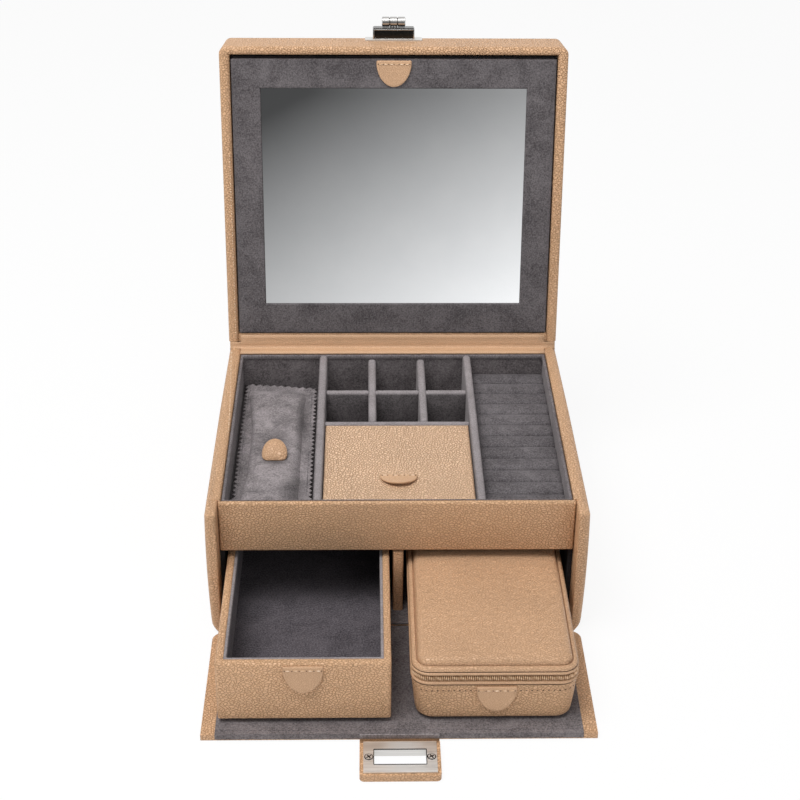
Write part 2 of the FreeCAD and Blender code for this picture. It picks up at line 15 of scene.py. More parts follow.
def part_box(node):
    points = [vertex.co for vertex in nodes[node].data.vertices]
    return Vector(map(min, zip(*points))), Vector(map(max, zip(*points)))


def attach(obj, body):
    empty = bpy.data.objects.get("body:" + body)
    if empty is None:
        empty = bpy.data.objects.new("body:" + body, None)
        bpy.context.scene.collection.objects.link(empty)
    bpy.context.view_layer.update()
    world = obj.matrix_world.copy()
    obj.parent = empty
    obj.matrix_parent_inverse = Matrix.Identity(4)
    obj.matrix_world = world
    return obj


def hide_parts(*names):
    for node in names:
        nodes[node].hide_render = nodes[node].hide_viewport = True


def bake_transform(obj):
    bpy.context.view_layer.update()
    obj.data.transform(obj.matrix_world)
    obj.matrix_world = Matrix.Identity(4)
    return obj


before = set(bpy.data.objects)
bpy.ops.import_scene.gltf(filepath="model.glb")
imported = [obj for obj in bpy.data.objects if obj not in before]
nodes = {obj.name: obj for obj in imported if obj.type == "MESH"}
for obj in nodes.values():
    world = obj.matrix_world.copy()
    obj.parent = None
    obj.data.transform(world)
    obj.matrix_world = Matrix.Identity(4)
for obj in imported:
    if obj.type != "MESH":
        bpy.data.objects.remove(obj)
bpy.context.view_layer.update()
scene = bpy.context.scene

# %% [markdown]
# Sizes in this lesson are millimetres, as on a workshop drawing, but Blender counts in metres, so two
# functions convert. A third puts an object in the scene.

# %% Millimetres
MM = 0.001


def cad_mm(name):
    """Lower and upper corner of a CAD piece, in millimetres."""
    return [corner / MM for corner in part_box(name)]


def mm(*at):
    """Point in metres, from millimetres."""
    return Vector(at) * MM


def show(name, data):
    """New object in the scene."""
    made = bpy.data.objects.new(name, data)
    scene.collection.objects.link(made)
    return made


# %% [markdown]
# The camera stands about a metre in front of the case and looks down at it by 30 degrees.
# A camera can be placed by eye, but this one was worked out from the straight edges of the case,
# so that every edge falls where the photograph has it.

# %% Camera
CAMERA_AT = (-0.01994, -1.00863, 0.70454)
LOOK_DOWN = 0.5283023
LOOK_RIGHT = 0.0231001
LEAN = -0.0098374
FOCAL_LENGTH, SENSOR = 74.217, 36

forward = Vector((math.sin(LOOK_RIGHT) * math.cos(LOOK_DOWN),
                  math.cos(LOOK_RIGHT) * math.cos(LOOK_DOWN), -math.sin(LOOK_DOWN)))
level = Vector((math.cos(LOOK_RIGHT), -math.sin(LOOK_RIGHT), 0))
down = forward.cross(level)
right = math.cos(LEAN) * level + math.sin(LEAN) * down
up = math.sin(LEAN) * level - math.cos(LEAN) * down
lens = bpy.data.cameras.new("camera")
lens.lens = FOCAL_LENGTH
lens.sensor_width = SENSOR
camera = show("camera", lens)
turn = Matrix((right, up, -forward)).transposed()
camera.matrix_world = Matrix.Translation(CAMERA_AT) @ turn.to_4x4()
scene.camera = camera
print("camera looks along", [round(value, 3) for value in forward])

# %% [markdown]
# Colours are written as the sRGB values that a screen shows. Blender mixes light in linear values, so one
# function converts them. Another adds a node by its short name, sets it and links it.

# %% Colours and nodes
def srgb(code):
    """Linear colour of an sRGB hex value."""
    shares = [int(code[at:at + 2], 16) / 255 for at in (1, 3, 5)]
    return [s / 12.92 if s <= 0.04045 else ((s + 0.055) / 1.055) ** 2.4 for s in shares] + [1.0]


def feed(tree, made, inputs):
    """Give inputs of a node a value, or the output of another node."""
    for name, value in inputs.items():
        if isinstance(value, bpy.types.NodeSocket):
            tree.links.new(value, made.inputs[name])
        else:
            made.inputs[name].default_value = value


def node(tree, kind, inputs={}, **settings):
    """Add a node, set it, feed it and hand back its outputs."""
    family = "" if "Node" in kind else "ShaderNode" if tree.type == "SHADER" else "GeometryNode"
    made = tree.nodes.new(family + kind)
    for name, value in settings.items():
        setattr(made, name, value)
    feed(tree, made, inputs)
    return made.outputs


def material(name):
    """Empty material: its tree, its shader and the place of each point on the piece."""
    made = bpy.data.materials.new(name)
    made.use_nodes = True
    tree = made.node_tree
    place = node(tree, "TexCoord")["Object"]
    return made, tree, tree.nodes["Principled BSDF"], place


# %% [markdown]
# A few kinds of node come back in every material: sums, ranges, noise, a mix of two colours, and a bump for
# relief. Each gets a short function, so that a finish reads like a recipe.

# %% Shader tools
def per_mm(size):
    """Scale of a texture whose pattern repeats every size millimetres."""
    return 1 / (size * MM)


def maths(tree, operation, *values):
    """Result of one sum."""
    return node(tree, "Math", dict(enumerate(values)), operation=operation)[0]


def mapped(tree, value, low, high, to_low=0.0, to_high=1.0, curve="LINEAR"):
    """Value carried over from one range to another."""
    return node(tree, "MapRange", {"Value": value, "From Min": low, "From Max": high, "To Min": to_low,
                                   "To Max": to_high}, interpolation_type=curve)[0]


def noisy(tree, place, size, detail, **more):
    """Noise with clouds of about size millimetres."""
    return node(tree, "TexNoise", {"Vector": place, "Scale": per_mm(size), "Detail": detail, **more})


def tinted(tree, share, low, high):
    """Colour between two others."""
    return node(tree, "Mix", {0: share, 6: low, 7: high}, data_type="RGBA")[2]


def scaled(tree, colour, by):
    """Colour made lighter or darker."""
    return node(tree, "VectorMath", {0: colour, "Scale": by}, operation="SCALE")[0]


def raise_by(tree, shader, height, depth, strength):
    """Relief of a height, at most depth millimetres."""
    bump = node(tree, "Bump", {"Strength": strength, "Distance": depth * MM, "Height": height})
    feed(tree, shader, {"Normal": bump[0]})


# %% [markdown]
# The outside is full-grain calf leather, tumbled until it pebbles. Each pebble is about 2 mm wide, with a fine
# crease round it. A photograph of leather could be wrapped on, but it would stretch round corners. A Voronoi
# pattern, laid on each board by the way that it faces, gives pebbles of one size everywhere. It is turned a
# little, so that no rows show. Pressed leather has longer and flatter pebbles.

# %% Pebbled leather
FACING = 0.71
WARP_SIZE, WARP = 3.6, 0.0032
GRAIN_TURN, GRAIN_LOOSE = 0.6, 0.85
CREASE_W, DOME = 0.22, 0.7
PORE_SIZE, PORE = 1.2, 0.25
DYE_SIZE, DYE_PALE, DYE_DEEP = 45, 1.04, 0.94


def flat_place(tree, place):
    """Place on the nearest of the three flat directions, so that a pattern lies on each board."""
    normal = node(tree, "TexCoord")["Normal"]
    facing = node(tree, "VectorMath", {0: normal}, operation="ABSOLUTE")[0]
    ways = node(tree, "SeparateXYZ", {0: facing})
    to_side = maths(tree, "GREATER_THAN", ways["X"], FACING)
    upright = maths(tree, "MAXIMUM", to_side, maths(tree, "GREATER_THAN", ways["Y"], FACING))
    at = node(tree, "SeparateXYZ", {0: place})
    across = node(tree, "Mix", {0: to_side, 2: at["X"], 3: at["Y"]})[0]
    along = node(tree, "Mix", {0: upright, 2: at["Y"], 3: at["Z"]})[0]
    return node(tree, "CombineXYZ", {0: across, 1: along})[0]


def pebbled_leather(name, pebble, crease, grain, depth, gloss, wider=1.0):
    """Tumbled leather: rounded pebbles, darker creases, cloudy dye; wider draws the pebbles out along x."""
    made, tree, shader, place = material(name)
    warp = noisy(tree, place, WARP_SIZE, 1)["Color"]
    bent = node(tree, "Mix", {0: WARP, 4: flat_place(tree, place), 5: warp}, data_type="VECTOR")
    drawn = node(tree, "Mapping", {"Vector": bent[1], "Scale": (1 / wider, wider, 1),
                                   "Rotation": (0, 0, GRAIN_TURN)})
    cells = node(tree, "TexVoronoi", {"Vector": drawn[0], "Scale": per_mm(grain), "Randomness": GRAIN_LOOSE},
                 voronoi_dimensions="2D", feature="DISTANCE_TO_EDGE")
    dome = maths(tree, "POWER", mapped(tree, cells["Distance"], 0, CREASE_W), DOME)
    dye = mapped(tree, noisy(tree, place, DYE_SIZE, 3)[0], 0.3, 0.7, DYE_DEEP, DYE_PALE)
    # The creases are darker: partly the grain's own tone, partly painted shade in the creases.
    hide = tinted(tree, dome, srgb(crease), srgb(pebble))
    feed(tree, shader, {"Base Color": scaled(tree, hide, dye), "IOR": 1.48,
                        "Roughness": mapped(tree, dome, 0, 1, gloss + 0.2, gloss)})
    pores = noisy(tree, place, PORE_SIZE, 2)[0]
    raise_by(tree, shader, maths(tree, "MULTIPLY_ADD", pores, PORE, dome), depth, 1.0)
    return made


leather = pebbled_leather("pebbled_calf_leather", "#DAAF88", "#B58961", 1.9, 0.5, 0.42, 1.15)
# Paler leather for the compartment's lid: a painted highlight for the brighter light on its top.
painted_highlight_leather = pebbled_leather("calf_leather_painted_highlight", "#E3BE9C", "#BA916E", 2.0, 0.66, 0.42, 0.9)
pressed_leather = pebbled_leather("pressed_calf_leather", "#D0A783", "#B58C68", 1.55, 0.3, 0.42, 1.4)
tab_leather = pebbled_leather("smooth_calf_leather", "#CEA784", "#BB9370", 1.4, 0.14, 0.46)
# Dark leather: painted shade in the clasp fold, along the clasp tab's edge and in the flap's hinge.
painted_shade_leather = pebbled_leather("calf_leather_painted_shade", "#8A6848", "#694C33", 1.4, 0.2, 0.55)
print("leathers:", leather.name, painted_highlight_leather.name, pressed_leather.name, tab_leather.name, painted_shade_leather.name)

# %% [markdown]
# Inside, the case is lined with grey suede: split leather with a short nap. The nap lies in different
# directions, so it looks cloudy, and its fibre tips catch light along edges. Fibres are far too fine
# for the picture, so the noise that stands for them is drawn at about a millimetre. Sheen does the rest.

# %% Grey suede
FIBRE_SIZE, FIBRE, NAP_DEPTH = 1.1, 2.2, 0.25


def suede(name, light, dark, cloud, cloudy, sheen, lit_tops=None):
    """Split leather with a brushed nap; given a third colour, faces that point up are painted lighter with it, a
    painted sheen.
    """
    made, tree, shader, place = material(name)
    clouds = noisy(tree, place, cloud, 4, Roughness=0.62, Distortion=0.6)[0]
    fibres = noisy(tree, place, FIBRE_SIZE, 4, Roughness=0.7)[0]
    brushed = maths(tree, "MULTIPLY_ADD", fibres, FIBRE, maths(tree, "MULTIPLY", clouds, cloudy))
    share = mapped(tree, brushed, 0.7 + cloudy / 2, 1.5 + cloudy / 2)
    nap = tinted(tree, share, srgb(dark), srgb(light))
    # Faces that point up are painted lighter: a painted sheen where the light falls on top.
    if lit_tops:
        normal = node(tree, "NewGeometry")["Normal"]
        facing_up = node(tree, "SeparateXYZ", {0: normal})["Z"]
        tips = tinted(tree, share, srgb(light), srgb(lit_tops))
        nap = tinted(tree, mapped(tree, facing_up, 0.3, 0.9), nap, tips)
    feed(tree, shader, {"Base Color": nap, "Roughness": 0.92, "Specular IOR Level": 0.2, "Sheen Weight": sheen,
                        "Sheen Roughness": 0.45, "Sheen Tint": srgb("#B9B2B3")})
    raise_by(tree, shader, fibres, NAP_DEPTH, 0.5)
    return made


lining_suede = suede("grey_lining_suede", "#757072", "#3F3B3D", 18, 1.0, 0.3)
tray_suede = suede("grey_tray_suede", "#857E7F", "#4A4546", 18, 1.0, 0.3)
drawer_suede_and_seam_shade = suede("drawer_suede_and_painted_seam_shade", "#6C666B", "#2D2A2E", 18, 0.7, 0.3)
# Near-black suede: painted shade in the bays below the tray and in the gap behind the mirror panel's frame.
painted_shade_suede = suede("bay_suede_painted_shade", "#353235", "#181718", 18, 0.7, 0.1)
# The dividers' tops are painted lighter, a painted sheen.
divider_suede = suede("divider_suede_painted_top_sheen", "#767071", "#454142", 18, 1.0, 0.3, "#9B9495")
pouch_suede = suede("grey_pouch_suede", "#A09899", "#5F5A5B", 17, 1.5, 0.4)
# Paler suede for the welt: painted light on the flap's front where the clasp tab shades it.
painted_light_welt_suede = suede("welt_suede_painted_light", "#B0A8A9", "#746E6F", 18, 1.0, 0.3)
print("suedes:", lining_suede.name, tray_suede.name, drawer_suede_and_seam_shade.name, painted_shade_suede.name, divider_suede.name,
      pouch_suede.name, painted_light_welt_suede.name)

# %% [markdown]
# The fittings are metal. The lock is glossy zinc; its dark colour is partly the plating and partly painted dark
# reflection, and the same dark metal paints the shade at the screw seats and the slot's edge. The slotted plate is
# brushed steel: its scratches all run along the slot, so the noise is stretched that way. The mirror is silvered
# glass, a metal with hardly any roughness; a faint haze keeps it from looking computed. Its silvered back leans by
# two and a half degrees, so that it shows the studio above the tray.

# %% Metals and mirror
GLASS_LEAN = 0.043
EVEN, BRUSHED, HAZE = (0.6, 0.6, 0.6), (0.03, 1.5, 1.5), (0.03, 0.03, 0.03)


def metal(name, light, dark, stretch, smooth, rough, depth):
    """Metal with fine marks; stretch draws them out along x, y or z."""
    made, tree, shader, place = material(name)
    drawn = node(tree, "Mapping", {"Vector": place, "Scale": stretch})[0]
    marks = noisy(tree, drawn, 1, 3)[0]
    feed(tree, shader, {"Base Color": tinted(tree, marks, srgb(dark), srgb(light)), "Metallic": 1.0,
                        "Roughness": mapped(tree, marks, 0, 1, smooth, rough)})
    raise_by(tree, shader, marks, depth, 0.3)
    return made


# Dark metal: partly the lock's plating, partly painted dark reflection; on screw seats and slot edge it paints
# shade.
painted_dark_metal = metal("gunmetal_zinc_painted_dark", "#454341", "#2C2A29", EVEN, 0.14, 0.26, 0.005)
chrome = metal("polished_chrome", "#C9C8C6", "#A9A7A5", EVEN, 0.08, 0.16, 0.005)
brushed_steel = metal("brushed_steel", "#F6F5F3", "#BCB9B4", BRUSHED, 0.32, 0.46, 0.04)
mirror = metal("silvered_mirror", "#F1F2F3", "#E6E8EA", HAZE, 0.02, 0.07, 0.0)
tree = mirror.node_tree
facing = node(tree, "NewGeometry")["Normal"]
leaning = node(tree, "VectorMath", {0: facing, 1: (0, 0, GLASS_LEAN)}, operation="ADD")
feed(tree, tree.nodes["Principled BSDF"], {"Normal": leaning[0]})
print("metals:", painted_dark_metal.name, chrome.name, brushed_steel.name, mirror.name)

# %% [markdown]
# Thread and zip are woven or spun, so they get a fine stripe. The zip's tape is dyed darker than the leather,
# and its coil is a nylon thread wound into teeth, a little paler than the leather round it. The same
# yarn in dark brown stands for the shadow in needle holes and creases.

# %% Thread and zip
def spun(name, light, dark, pitch, gloss):
    """Spun or woven yarn: fine stripes that show as a twist."""
    made, tree, shader, place = material(name)
    twist = node(tree, "TexWave", {"Vector": place, "Scale": per_mm(pitch) / 20, "Distortion": 1.5, "Detail": 1},
                 bands_direction="DIAGONAL")["Fac"]
    feed(tree, shader, {"Base Color": tinted(tree, twist, srgb(dark), srgb(light)), "Roughness": gloss})
    raise_by(tree, shader, twist, 0.08, 0.5)
    return made


thread = spun("linen_thread", "#F0D9BE", "#D2AE88", 0.5, 0.55)
# Dark brown yarn: painted shadow in needle holes, in the creases of the zip and along the tray's edge.
shadow_yarn = spun("yarn_painted_shadow", "#5A4029", "#3E2A1A", 0.5, 0.9)
zip_coil = spun("nylon_zip_coil", "#E6C4A0", "#C29A74", 0.4, 0.4)
zip_tape = spun("woven_zip_tape", "#AD8763", "#876445", 0.6, 0.75)
print("yarns:", thread.name, shadow_yarn.name, zip_coil.name, zip_tape.name)

# %% [markdown]
# The CAD pieces whose shape is right keep it and only get their finish. Each comes with a plain material that is
# named for its slot in the record, so a table from slot to finish dresses all of them. A few differ: the linings
# are lighter or darker, the lock's block is dark metal that is partly painted dark reflection, the compartment's
# lid is paler as a painted highlight, the flap's hinge is dark leather as painted shade, and the back of the mirror
# panel is near-black suede as painted shade in the gap round it.

# %% Dress the CAD pieces
finish_of_slot = {"leather_tan": leather, "suede_grey": lining_suede, "mirror": mirror,
                  "steel": brushed_steel, "chrome": chrome, "zip_tape": zip_tape}
own_finish = {"lock_block": painted_dark_metal, "tray_lining": tray_suede, "flap_lining": tray_suede,
              "bay_floor_lining": tray_suede, "drawer_lining": drawer_suede_and_seam_shade, "flap_hinge_leather": painted_shade_leather,
              "panel_back": painted_shade_suede, "compartment_lid": painted_highlight_leather}
for name, piece in nodes.items():
    slot_finish = finish_of_slot[piece.data.materials[0].name]
    piece.data.materials[0] = own_finish.get(name, slot_finish)
print("dressed", len(nodes), "CAD pieces")

# %% [markdown]
# Each new piece is a mesh at the origin that moves with one body of the case. One function names it, gives
# it a finish and hangs it on its body. Another bridges rings of points into a skin, which is how nearly
# everything below is drawn: a tab, a roll, the pouch, or a frame that closes on itself.

# %% Making a piece
WELD, SLIVER = 1e-6, 1e-7


def add_piece(name, mesh, body, finish, stands_for=()):
    """New piece of the case on one of its bodies."""
    mesh.name = name
    mesh.materials.clear()
    mesh.materials.append(finish)
    made = show(name, mesh)
    if body:
        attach(made, body)
    if stands_for:
        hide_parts(*stands_for)
    print(name, "has", len(mesh.polygons), "faces")
    return made


def finished(shape):
    """Mesh of a shape that was put together face by face."""
    mesh = bpy.data.meshes.new("shape")
    shape.to_mesh(mesh)
    shape.free()
    return mesh


def skin(rings, closed=False, sharp=None, cut=False):
    """Mesh over rings of equally many points: a closed loop of rings, or a row with capped ends."""
    shape = bmesh.new()
    loops = [[shape.verts.new(point) for point in ring] for ring in rings]
    pairs = list(zip(loops, loops[1:]))
    if closed:
        pairs.append((loops[-1], loops[0]))
    else:
        shape.faces.new(list(reversed(loops[0])))
        shape.faces.new(loops[-1])
    for one, other in pairs:
        for at in range(len(one)):
            after = (at + 1) % len(one)
            shape.faces.new((one[at], one[after], other[after], other[at]))
    bmesh.ops.remove_doubles(shape, verts=shape.verts, dist=WELD)
    if cut:
        bmesh.ops.dissolve_degenerate(shape, edges=shape.edges, dist=SLIVER)
    bmesh.ops.recalc_face_normals(shape, faces=shape.faces)
    mesh = finished(shape)
    if not cut:
        mesh.shade_smooth()
    if sharp:
        mesh.set_sharp_from_angle(angle=math.radians(sharp))
    return mesh


# %% [markdown]
# Leather over a board runs round corners without a joint. The CAD boards meet edge to edge, so such walls are
# drawn again as one frame: stations along the outside and the inside, and a profile that rolls over the rim.

# %% Frames
CORNER = 7
FRAME_SHARP = 50


def corner_points(cx, cy, radius, start, count=CORNER):
    """Quarter of a circle in plan, from a start angle in degrees."""
    points = []
    for step in range(count):
        angle = math.radians(start + 90 * step / (count - 1))
        points.append(Vector((cx + radius * math.cos(angle), cy + radius * math.sin(angle))))
    return points


def rounded_plan(x0, x1, y0, y1, corner, count=CORNER):
    """Rounded rectangle in plan, with as many points at each corner as count says."""
    points = []
    for cx, cy, start in ((x1 - corner, y1 - corner, 0), (x0 + corner, y1 - corner, 90),
                          (x0 + corner, y0 + corner, 180), (x1 - corner, y0 + corner, 270)):
        points += corner_points(cx, cy, corner, start, count)
    return points


def grown(box, by):
    """Box in plan, grown on all four sides."""
    return box[0] - by, box[1] + by, box[2] - by, box[3] + by


def frame_mesh(outside, inside, profile, closed=True, place=Matrix()):
    """Wall along matching stations; each profile point is a share of the way in and a height."""
    rings = []
    for out, into in zip(outside, inside):
        rings.append([place @ mm(*out.lerp(into, share), height) for share, height in profile])
    return skin(rings, closed, FRAME_SHARP)


def rim_profile(rim, far, roll):
    """Profile that rolls over a rim; far is the hidden edge of the wall."""
    way = math.copysign(1, far - rim)
    outer = [(0.0, far)]
    for share, drop in ((0.0, 1.0), (0.04, 0.62), (0.13, 0.3), (0.28, 0.08), (0.5, 0.0)):
        outer.append((share, rim + way * drop * roll))
    return outer + [(1 - share, height) for share, height in reversed(outer[:-1])]


# %% [markdown]
# The lid is easier to draw shut, lying flat on the case, and to swing open about its hinge at the end. Its sides
# swell a little towards the rim, as padded leather does. The suede round the mirror is a frame of its own. It ends
# just below the lid's wall, so that a dark gap stays.

# %% Lid and mirror frame
LID_OPEN = math.radians(-97.4)
LID_PIVOT = mm(0, 115.5, 96.15)
LID_X, LID_FRONT, LID_REAR, LID_R = 125.0, -115.5, 111.5, 5.5
LID_IN_X, LID_IN_FRONT = 119.0, -109.5
LID_RIM, LID_TOP, LID_ROLL, LID_SWELL, LID_SWOLLEN = 96.3, 128.3, 2.4, 1.5, 29.6
PANEL_FACE, PANEL_SEAT = 98.3, 101.3
PANEL_PLAN, GLASS_PLAN = (-118.2, 118.2, -106.4, 105.0), (-97.3, 97.3, -85.0, 81.0)

opened = Matrix.Translation(LID_PIVOT) @ Matrix.Rotation(LID_OPEN, 4, "X") @ Matrix.Translation(-LID_PIVOT)
outside = [Vector((-LID_X, LID_REAR)), *corner_points(-LID_X + LID_R, LID_FRONT + LID_R, LID_R, 180),
           *corner_points(LID_X - LID_R, LID_FRONT + LID_R, LID_R, 270), Vector((LID_X, LID_REAR))]
inside = [Vector((-LID_IN_X, LID_REAR)), *[Vector((-LID_IN_X, LID_IN_FRONT))] * CORNER,
          *[Vector((LID_IN_X, LID_IN_FRONT))] * CORNER, Vector((LID_IN_X, LID_REAR))]
lid_frame = frame_mesh(outside, inside, rim_profile(LID_RIM, LID_TOP, LID_ROLL), False)
for vert in lid_frame.vertices:
    outward = max(abs(vert.co.x / MM) - LID_IN_X, 0) / (LID_X - LID_IN_X)
    to_rim = min((LID_TOP - vert.co.z / MM) / LID_SWOLLEN, 1)
    vert.co.x += math.copysign(LID_SWELL * MM * outward * to_rim, vert.co.x)
lid_frame.transform(opened)
add_piece("lid_frame_leather", lid_frame, "lid", leather,
          ["lid_left_wall", "lid_right_wall", "lid_front_wall"])

panel_edge = [(0, PANEL_SEAT), (0, PANEL_FACE + 0.7), (0.012, PANEL_FACE + 0.25), (0.04, PANEL_FACE),
              (0.06, PANEL_FACE)]
profile = panel_edge + [(1 - share, height) for share, height in reversed(panel_edge)]
panel_frame = frame_mesh(rounded_plan(*PANEL_PLAN, 0.8), rounded_plan(*GLASS_PLAN, 0.2), profile, place=opened)
add_piece("panel_frame_suede", panel_frame, "mirror_panel", lining_suede, ["panel_frame"])

# %% [markdown]
# The drawer is a frame all round. Its leather is turned in at the top and ends where the lining begins.

# %% Drawer
DRAWER_X, DRAWER_FRONT, DRAWER_R = (-114.3, -5.2), -213.0, 2.0
DRAWER_IN = (-109.2, -9.9, -206.9, -18.5)
TURN_IN, DRAWER_ROLL = 2.4, 1.3
low, high = cad_mm("drawer_front")
drawer_rear = cad_mm("drawer_back")[1].y
turned_in = high.z - TURN_IN
profile = [(0.35, low.z), *rim_profile(high.z, low.z + 1.5, DRAWER_ROLL)[:-1],
           (1.0, turned_in), (0.85, turned_in), (0.85, low.z)]
drawer_frame = frame_mesh(rounded_plan(*DRAWER_X, DRAWER_FRONT, drawer_rear, DRAWER_R),
                          rounded_plan(*DRAWER_IN, 0), profile)
add_piece("drawer_frame_leather", drawer_frame, "drawer", leather,
          ["drawer_front", "drawer_back", "drawer_left", "drawer_right"])

# %% [markdown]
# The two side walls are padded a little under their leather: they bulge by a millimetre, their front edge is
# round like a bolster, and they tuck in at the foot. The same kind of frame draws them: stations run from the back
# to the round nose, and the profile carries the bulge. In front of the fascia the wall is thinner.

# %% Side walls
WALL_T, WALL_END, WALL_TOP, WALL_ROLL = 8.0, 115.5, 96.0, 2.4
WALL_IN, WALL_FRONT_IN, WALL_STEP = 117.0, 119.3, -96.8
WALL_REAR_OUT, WALL_MID_OUT, WALL_OUT = 125.7, 126.6, 126.8
WALL_MID, WALL_NOSE, WALL_TRIM = 20.0, 4.2, 0.9
TUCK, TUCK_HIGH, BULGE, WALL_LEAN, PADDED_HIGH = 4.2, 7, 1.1, 1.4, 92
profile = []
for height in (0.0, 0.6, 1.6, 3.2, 5.5, 9.0, 16.0, 26.0, 38.0, 50.0, 62.0, 74.0, 85.0, 91.0):
    tuck = TUCK * max(0.0, 1 - height / TUCK_HIGH) ** 2
    bulge = BULGE * math.sin(math.pi * height / PADDED_HIGH) ** 0.8
    lean = WALL_LEAN * (1 - height / PADDED_HIGH)
    profile.append(((tuck + lean - bulge) / WALL_T, height))
profile += rim_profile(WALL_TOP, 0.0, WALL_ROLL)[1:]
for word, side in (("left", -1), ("right", 1)):
    outside, inside = [], []
    for y, out, into in ((WALL_END, WALL_REAR_OUT, WALL_IN), (WALL_MID, WALL_MID_OUT, WALL_IN),
                         (WALL_STEP, WALL_OUT, WALL_IN), (WALL_STEP - 0.1, WALL_OUT, WALL_FRONT_IN)):
        outside.append(Vector((side * out, y)))
        inside.append(Vector((side * into, y)))
    for step in range(8):
        turn = math.radians(90 * step / 7)
        for points, x, radius in ((outside, WALL_OUT, -WALL_NOSE), (inside, WALL_FRONT_IN, WALL_TRIM)):
            points.append(Vector((side * (x + radius * (1 - math.cos(turn))),
                                  -WALL_END + abs(radius) * (1 - math.sin(turn)))))
    name = word + "_wall_leather"
    add_piece(name, frame_mesh(outside, inside, profile, False), "case", leather,
              [word + "_side_wall"])

# %% [markdown]
# The fascia under the tray is a board of its own between the walls, so a thin dark line parts it from them.
# A box with its edges bevelled by a millimetre and a half is all that it needs.

# %% Fascia
def soft_board(low, high, radius):
    """Box with all its edges rounded."""
    shape = bmesh.new()
    bmesh.ops.create_cube(shape, size=1.0)
    for vert in shape.verts:
        vert.co = mm(*[low[axis] + (vert.co[axis] + 0.5) * (high[axis] - low[axis]) for axis in range(3)])
    bmesh.ops.bevel(shape, geom=shape.edges, offset=radius * MM, segments=4, profile=0.5, affect="EDGES")
    mesh = finished(shape)
    mesh.shade_smooth()
    return mesh


FASCIA_R, FASCIA_WIDER = 1.5, Vector((1.8, 0, 0))
low, high = cad_mm("front_fascia")
board = soft_board(low - FASCIA_WIDER, high + FASCIA_WIDER, FASCIA_R)
add_piece("fascia_leather", board, "case", leather, ["front_fascia"])

# %% [markdown]
# The travel case is a small box, pressed over a mould: its sides lean in towards the foot, its corners are round,
# and a padded top stands on a narrow ledge. Rings of a rounded plan, drawn in at each height, make both halves.

# %% Travel case
TRAVEL_R, TRAVEL_LEAN, TRAVEL_SHARP = 11.0, 2.8, 60
TRAVEL_X, TRAVEL_FRONT = (7.5, 111.9), -211.8
base_low, base_high = cad_mm("travel_base")


def travel_plan(inset, z):
    """Rounded plan of the travel case at one height, drawn in by an inset."""
    lean = TRAVEL_LEAN * (max(base_high.z - z, 0) / (base_high.z - base_low.z)) ** 1.3
    return rounded_plan(TRAVEL_X[0] + lean + inset, TRAVEL_X[1] - lean - inset, TRAVEL_FRONT + inset,
                        base_high.y - inset, max(TRAVEL_R - inset, 1.0))


def travel_path(inset, z):
    """The same plan as level points, in metres."""
    return [mm(*point, z) for point in travel_plan(inset, z)]


base_steps = [(5.0, 9.6), (2.4, 10.2), (2.2, 36.4), (0.3, 36.4), (0, 36.0), (0, 30), (0, 24), (0, 18), (0, 13),
              (0.05, 9.4), (0.3, 8.2), (0.9, 7.5), (1.8, 7.2)]
pad_steps = [(2.0, 41.2), (0.2, 41.2), (0, 41.7), (0, 44.4), (0.35, 45.5), (1.2, 46.2), (2.8, 46.4), (3.2, 45.2),
             (3.5, 45.2), (3.6, 46.6), (3.8, 47.6), (4.3, 49.0), (5.4, 50.0), (7.6, 50.5), (14, 50.9), (28, 51.1)]
for name, steps, finish in (("travel_base", base_steps, leather), ("travel_lid", pad_steps, pressed_leather)):
    mesh = skin([travel_path(inset, z) for inset, z in steps], sharp=TRAVEL_SHARP)
    add_piece(name + "_leather", mesh, "travel_case", finish, [name])

# %% [markdown]
# The dividers of the tray are card wrapped in suede. Wrapping rounds their edges, and their tops are painted
# lighter, a painted sheen where the light falls on top. Each is a soft box too, run a millimetre into its
# neighbours to close the joints.

# %% Dividers
DIVIDER_R = 2.2
dividers = [name for name in nodes if "divider" in name and name != "bay_divider"]
for name in dividers:
    low, high = cad_mm(name)
    run = Vector((1, 0, 0)) if high.x - low.x > high.y - low.y else Vector((0, 1, 0))
    add_piece("wrapped_" + name, soft_board(low - run, high + run, DIVIDER_R), "case",
              divider_suede, [name])

# %% [markdown]
# The lining of the tray and of the drawer is turned over at the top into a soft lip. A rounded profile, led once
# round the box, draws it. Where the lip of the tray meets the leather, a thin dark frame paints the shade in the
# joint. The walls of the two bays below are lined too, in near-black suede that paints the shade in the bays.

# %% Lining lips
LIP_W, LIP_ROLL = 2.3, 1.1
TRAY_TOP, TRAY_LIP, DRAWER_TOP, DRAWER_LIP = 95.0, 2.6, 51.3, 3.4
EDGE_SHADE_OUT, EDGE_SHADE_IN, EDGE_SHADE_R, EDGE_SHADE_TOP, EDGE_SHADE_LOW = 0.4, -0.35, 0.3, 95.3, 94.0
BAY_X, BAY_Y, BAY_Z = (116.4, 119.2), (-97.4, 105.0), (7.0, 57.0)
low, high = cad_mm("tray_lining")
TRAY_IN = (low.x, high.x, low.y, high.y)
for name, body, box, top, deep, finish in (
        ("tray_lining", "case", TRAY_IN, TRAY_TOP, TRAY_LIP, tray_suede),
        ("drawer_lining", "drawer", grown(DRAWER_IN, 0.4), DRAWER_TOP, DRAWER_LIP, divider_suede)):
    lip = frame_mesh(rounded_plan(*box, 0.4), rounded_plan(*grown(box, -LIP_W), 1.0),
                     rim_profile(top, top - deep, LIP_ROLL))
    add_piece(name + "_lip", lip, body, finish)
for word, side in (("left", -1), ("right", 1)):
    x0, x1 = sorted(side * x for x in BAY_X)
    # The bay walls are near-black suede: painted shade in the bays.
    board = soft_board((x0, BAY_Y[0], BAY_Z[0]), (x1, BAY_Y[1], BAY_Z[1]), 0.3)
    add_piece(word + "_bay_lining", board, "case", painted_shade_suede)
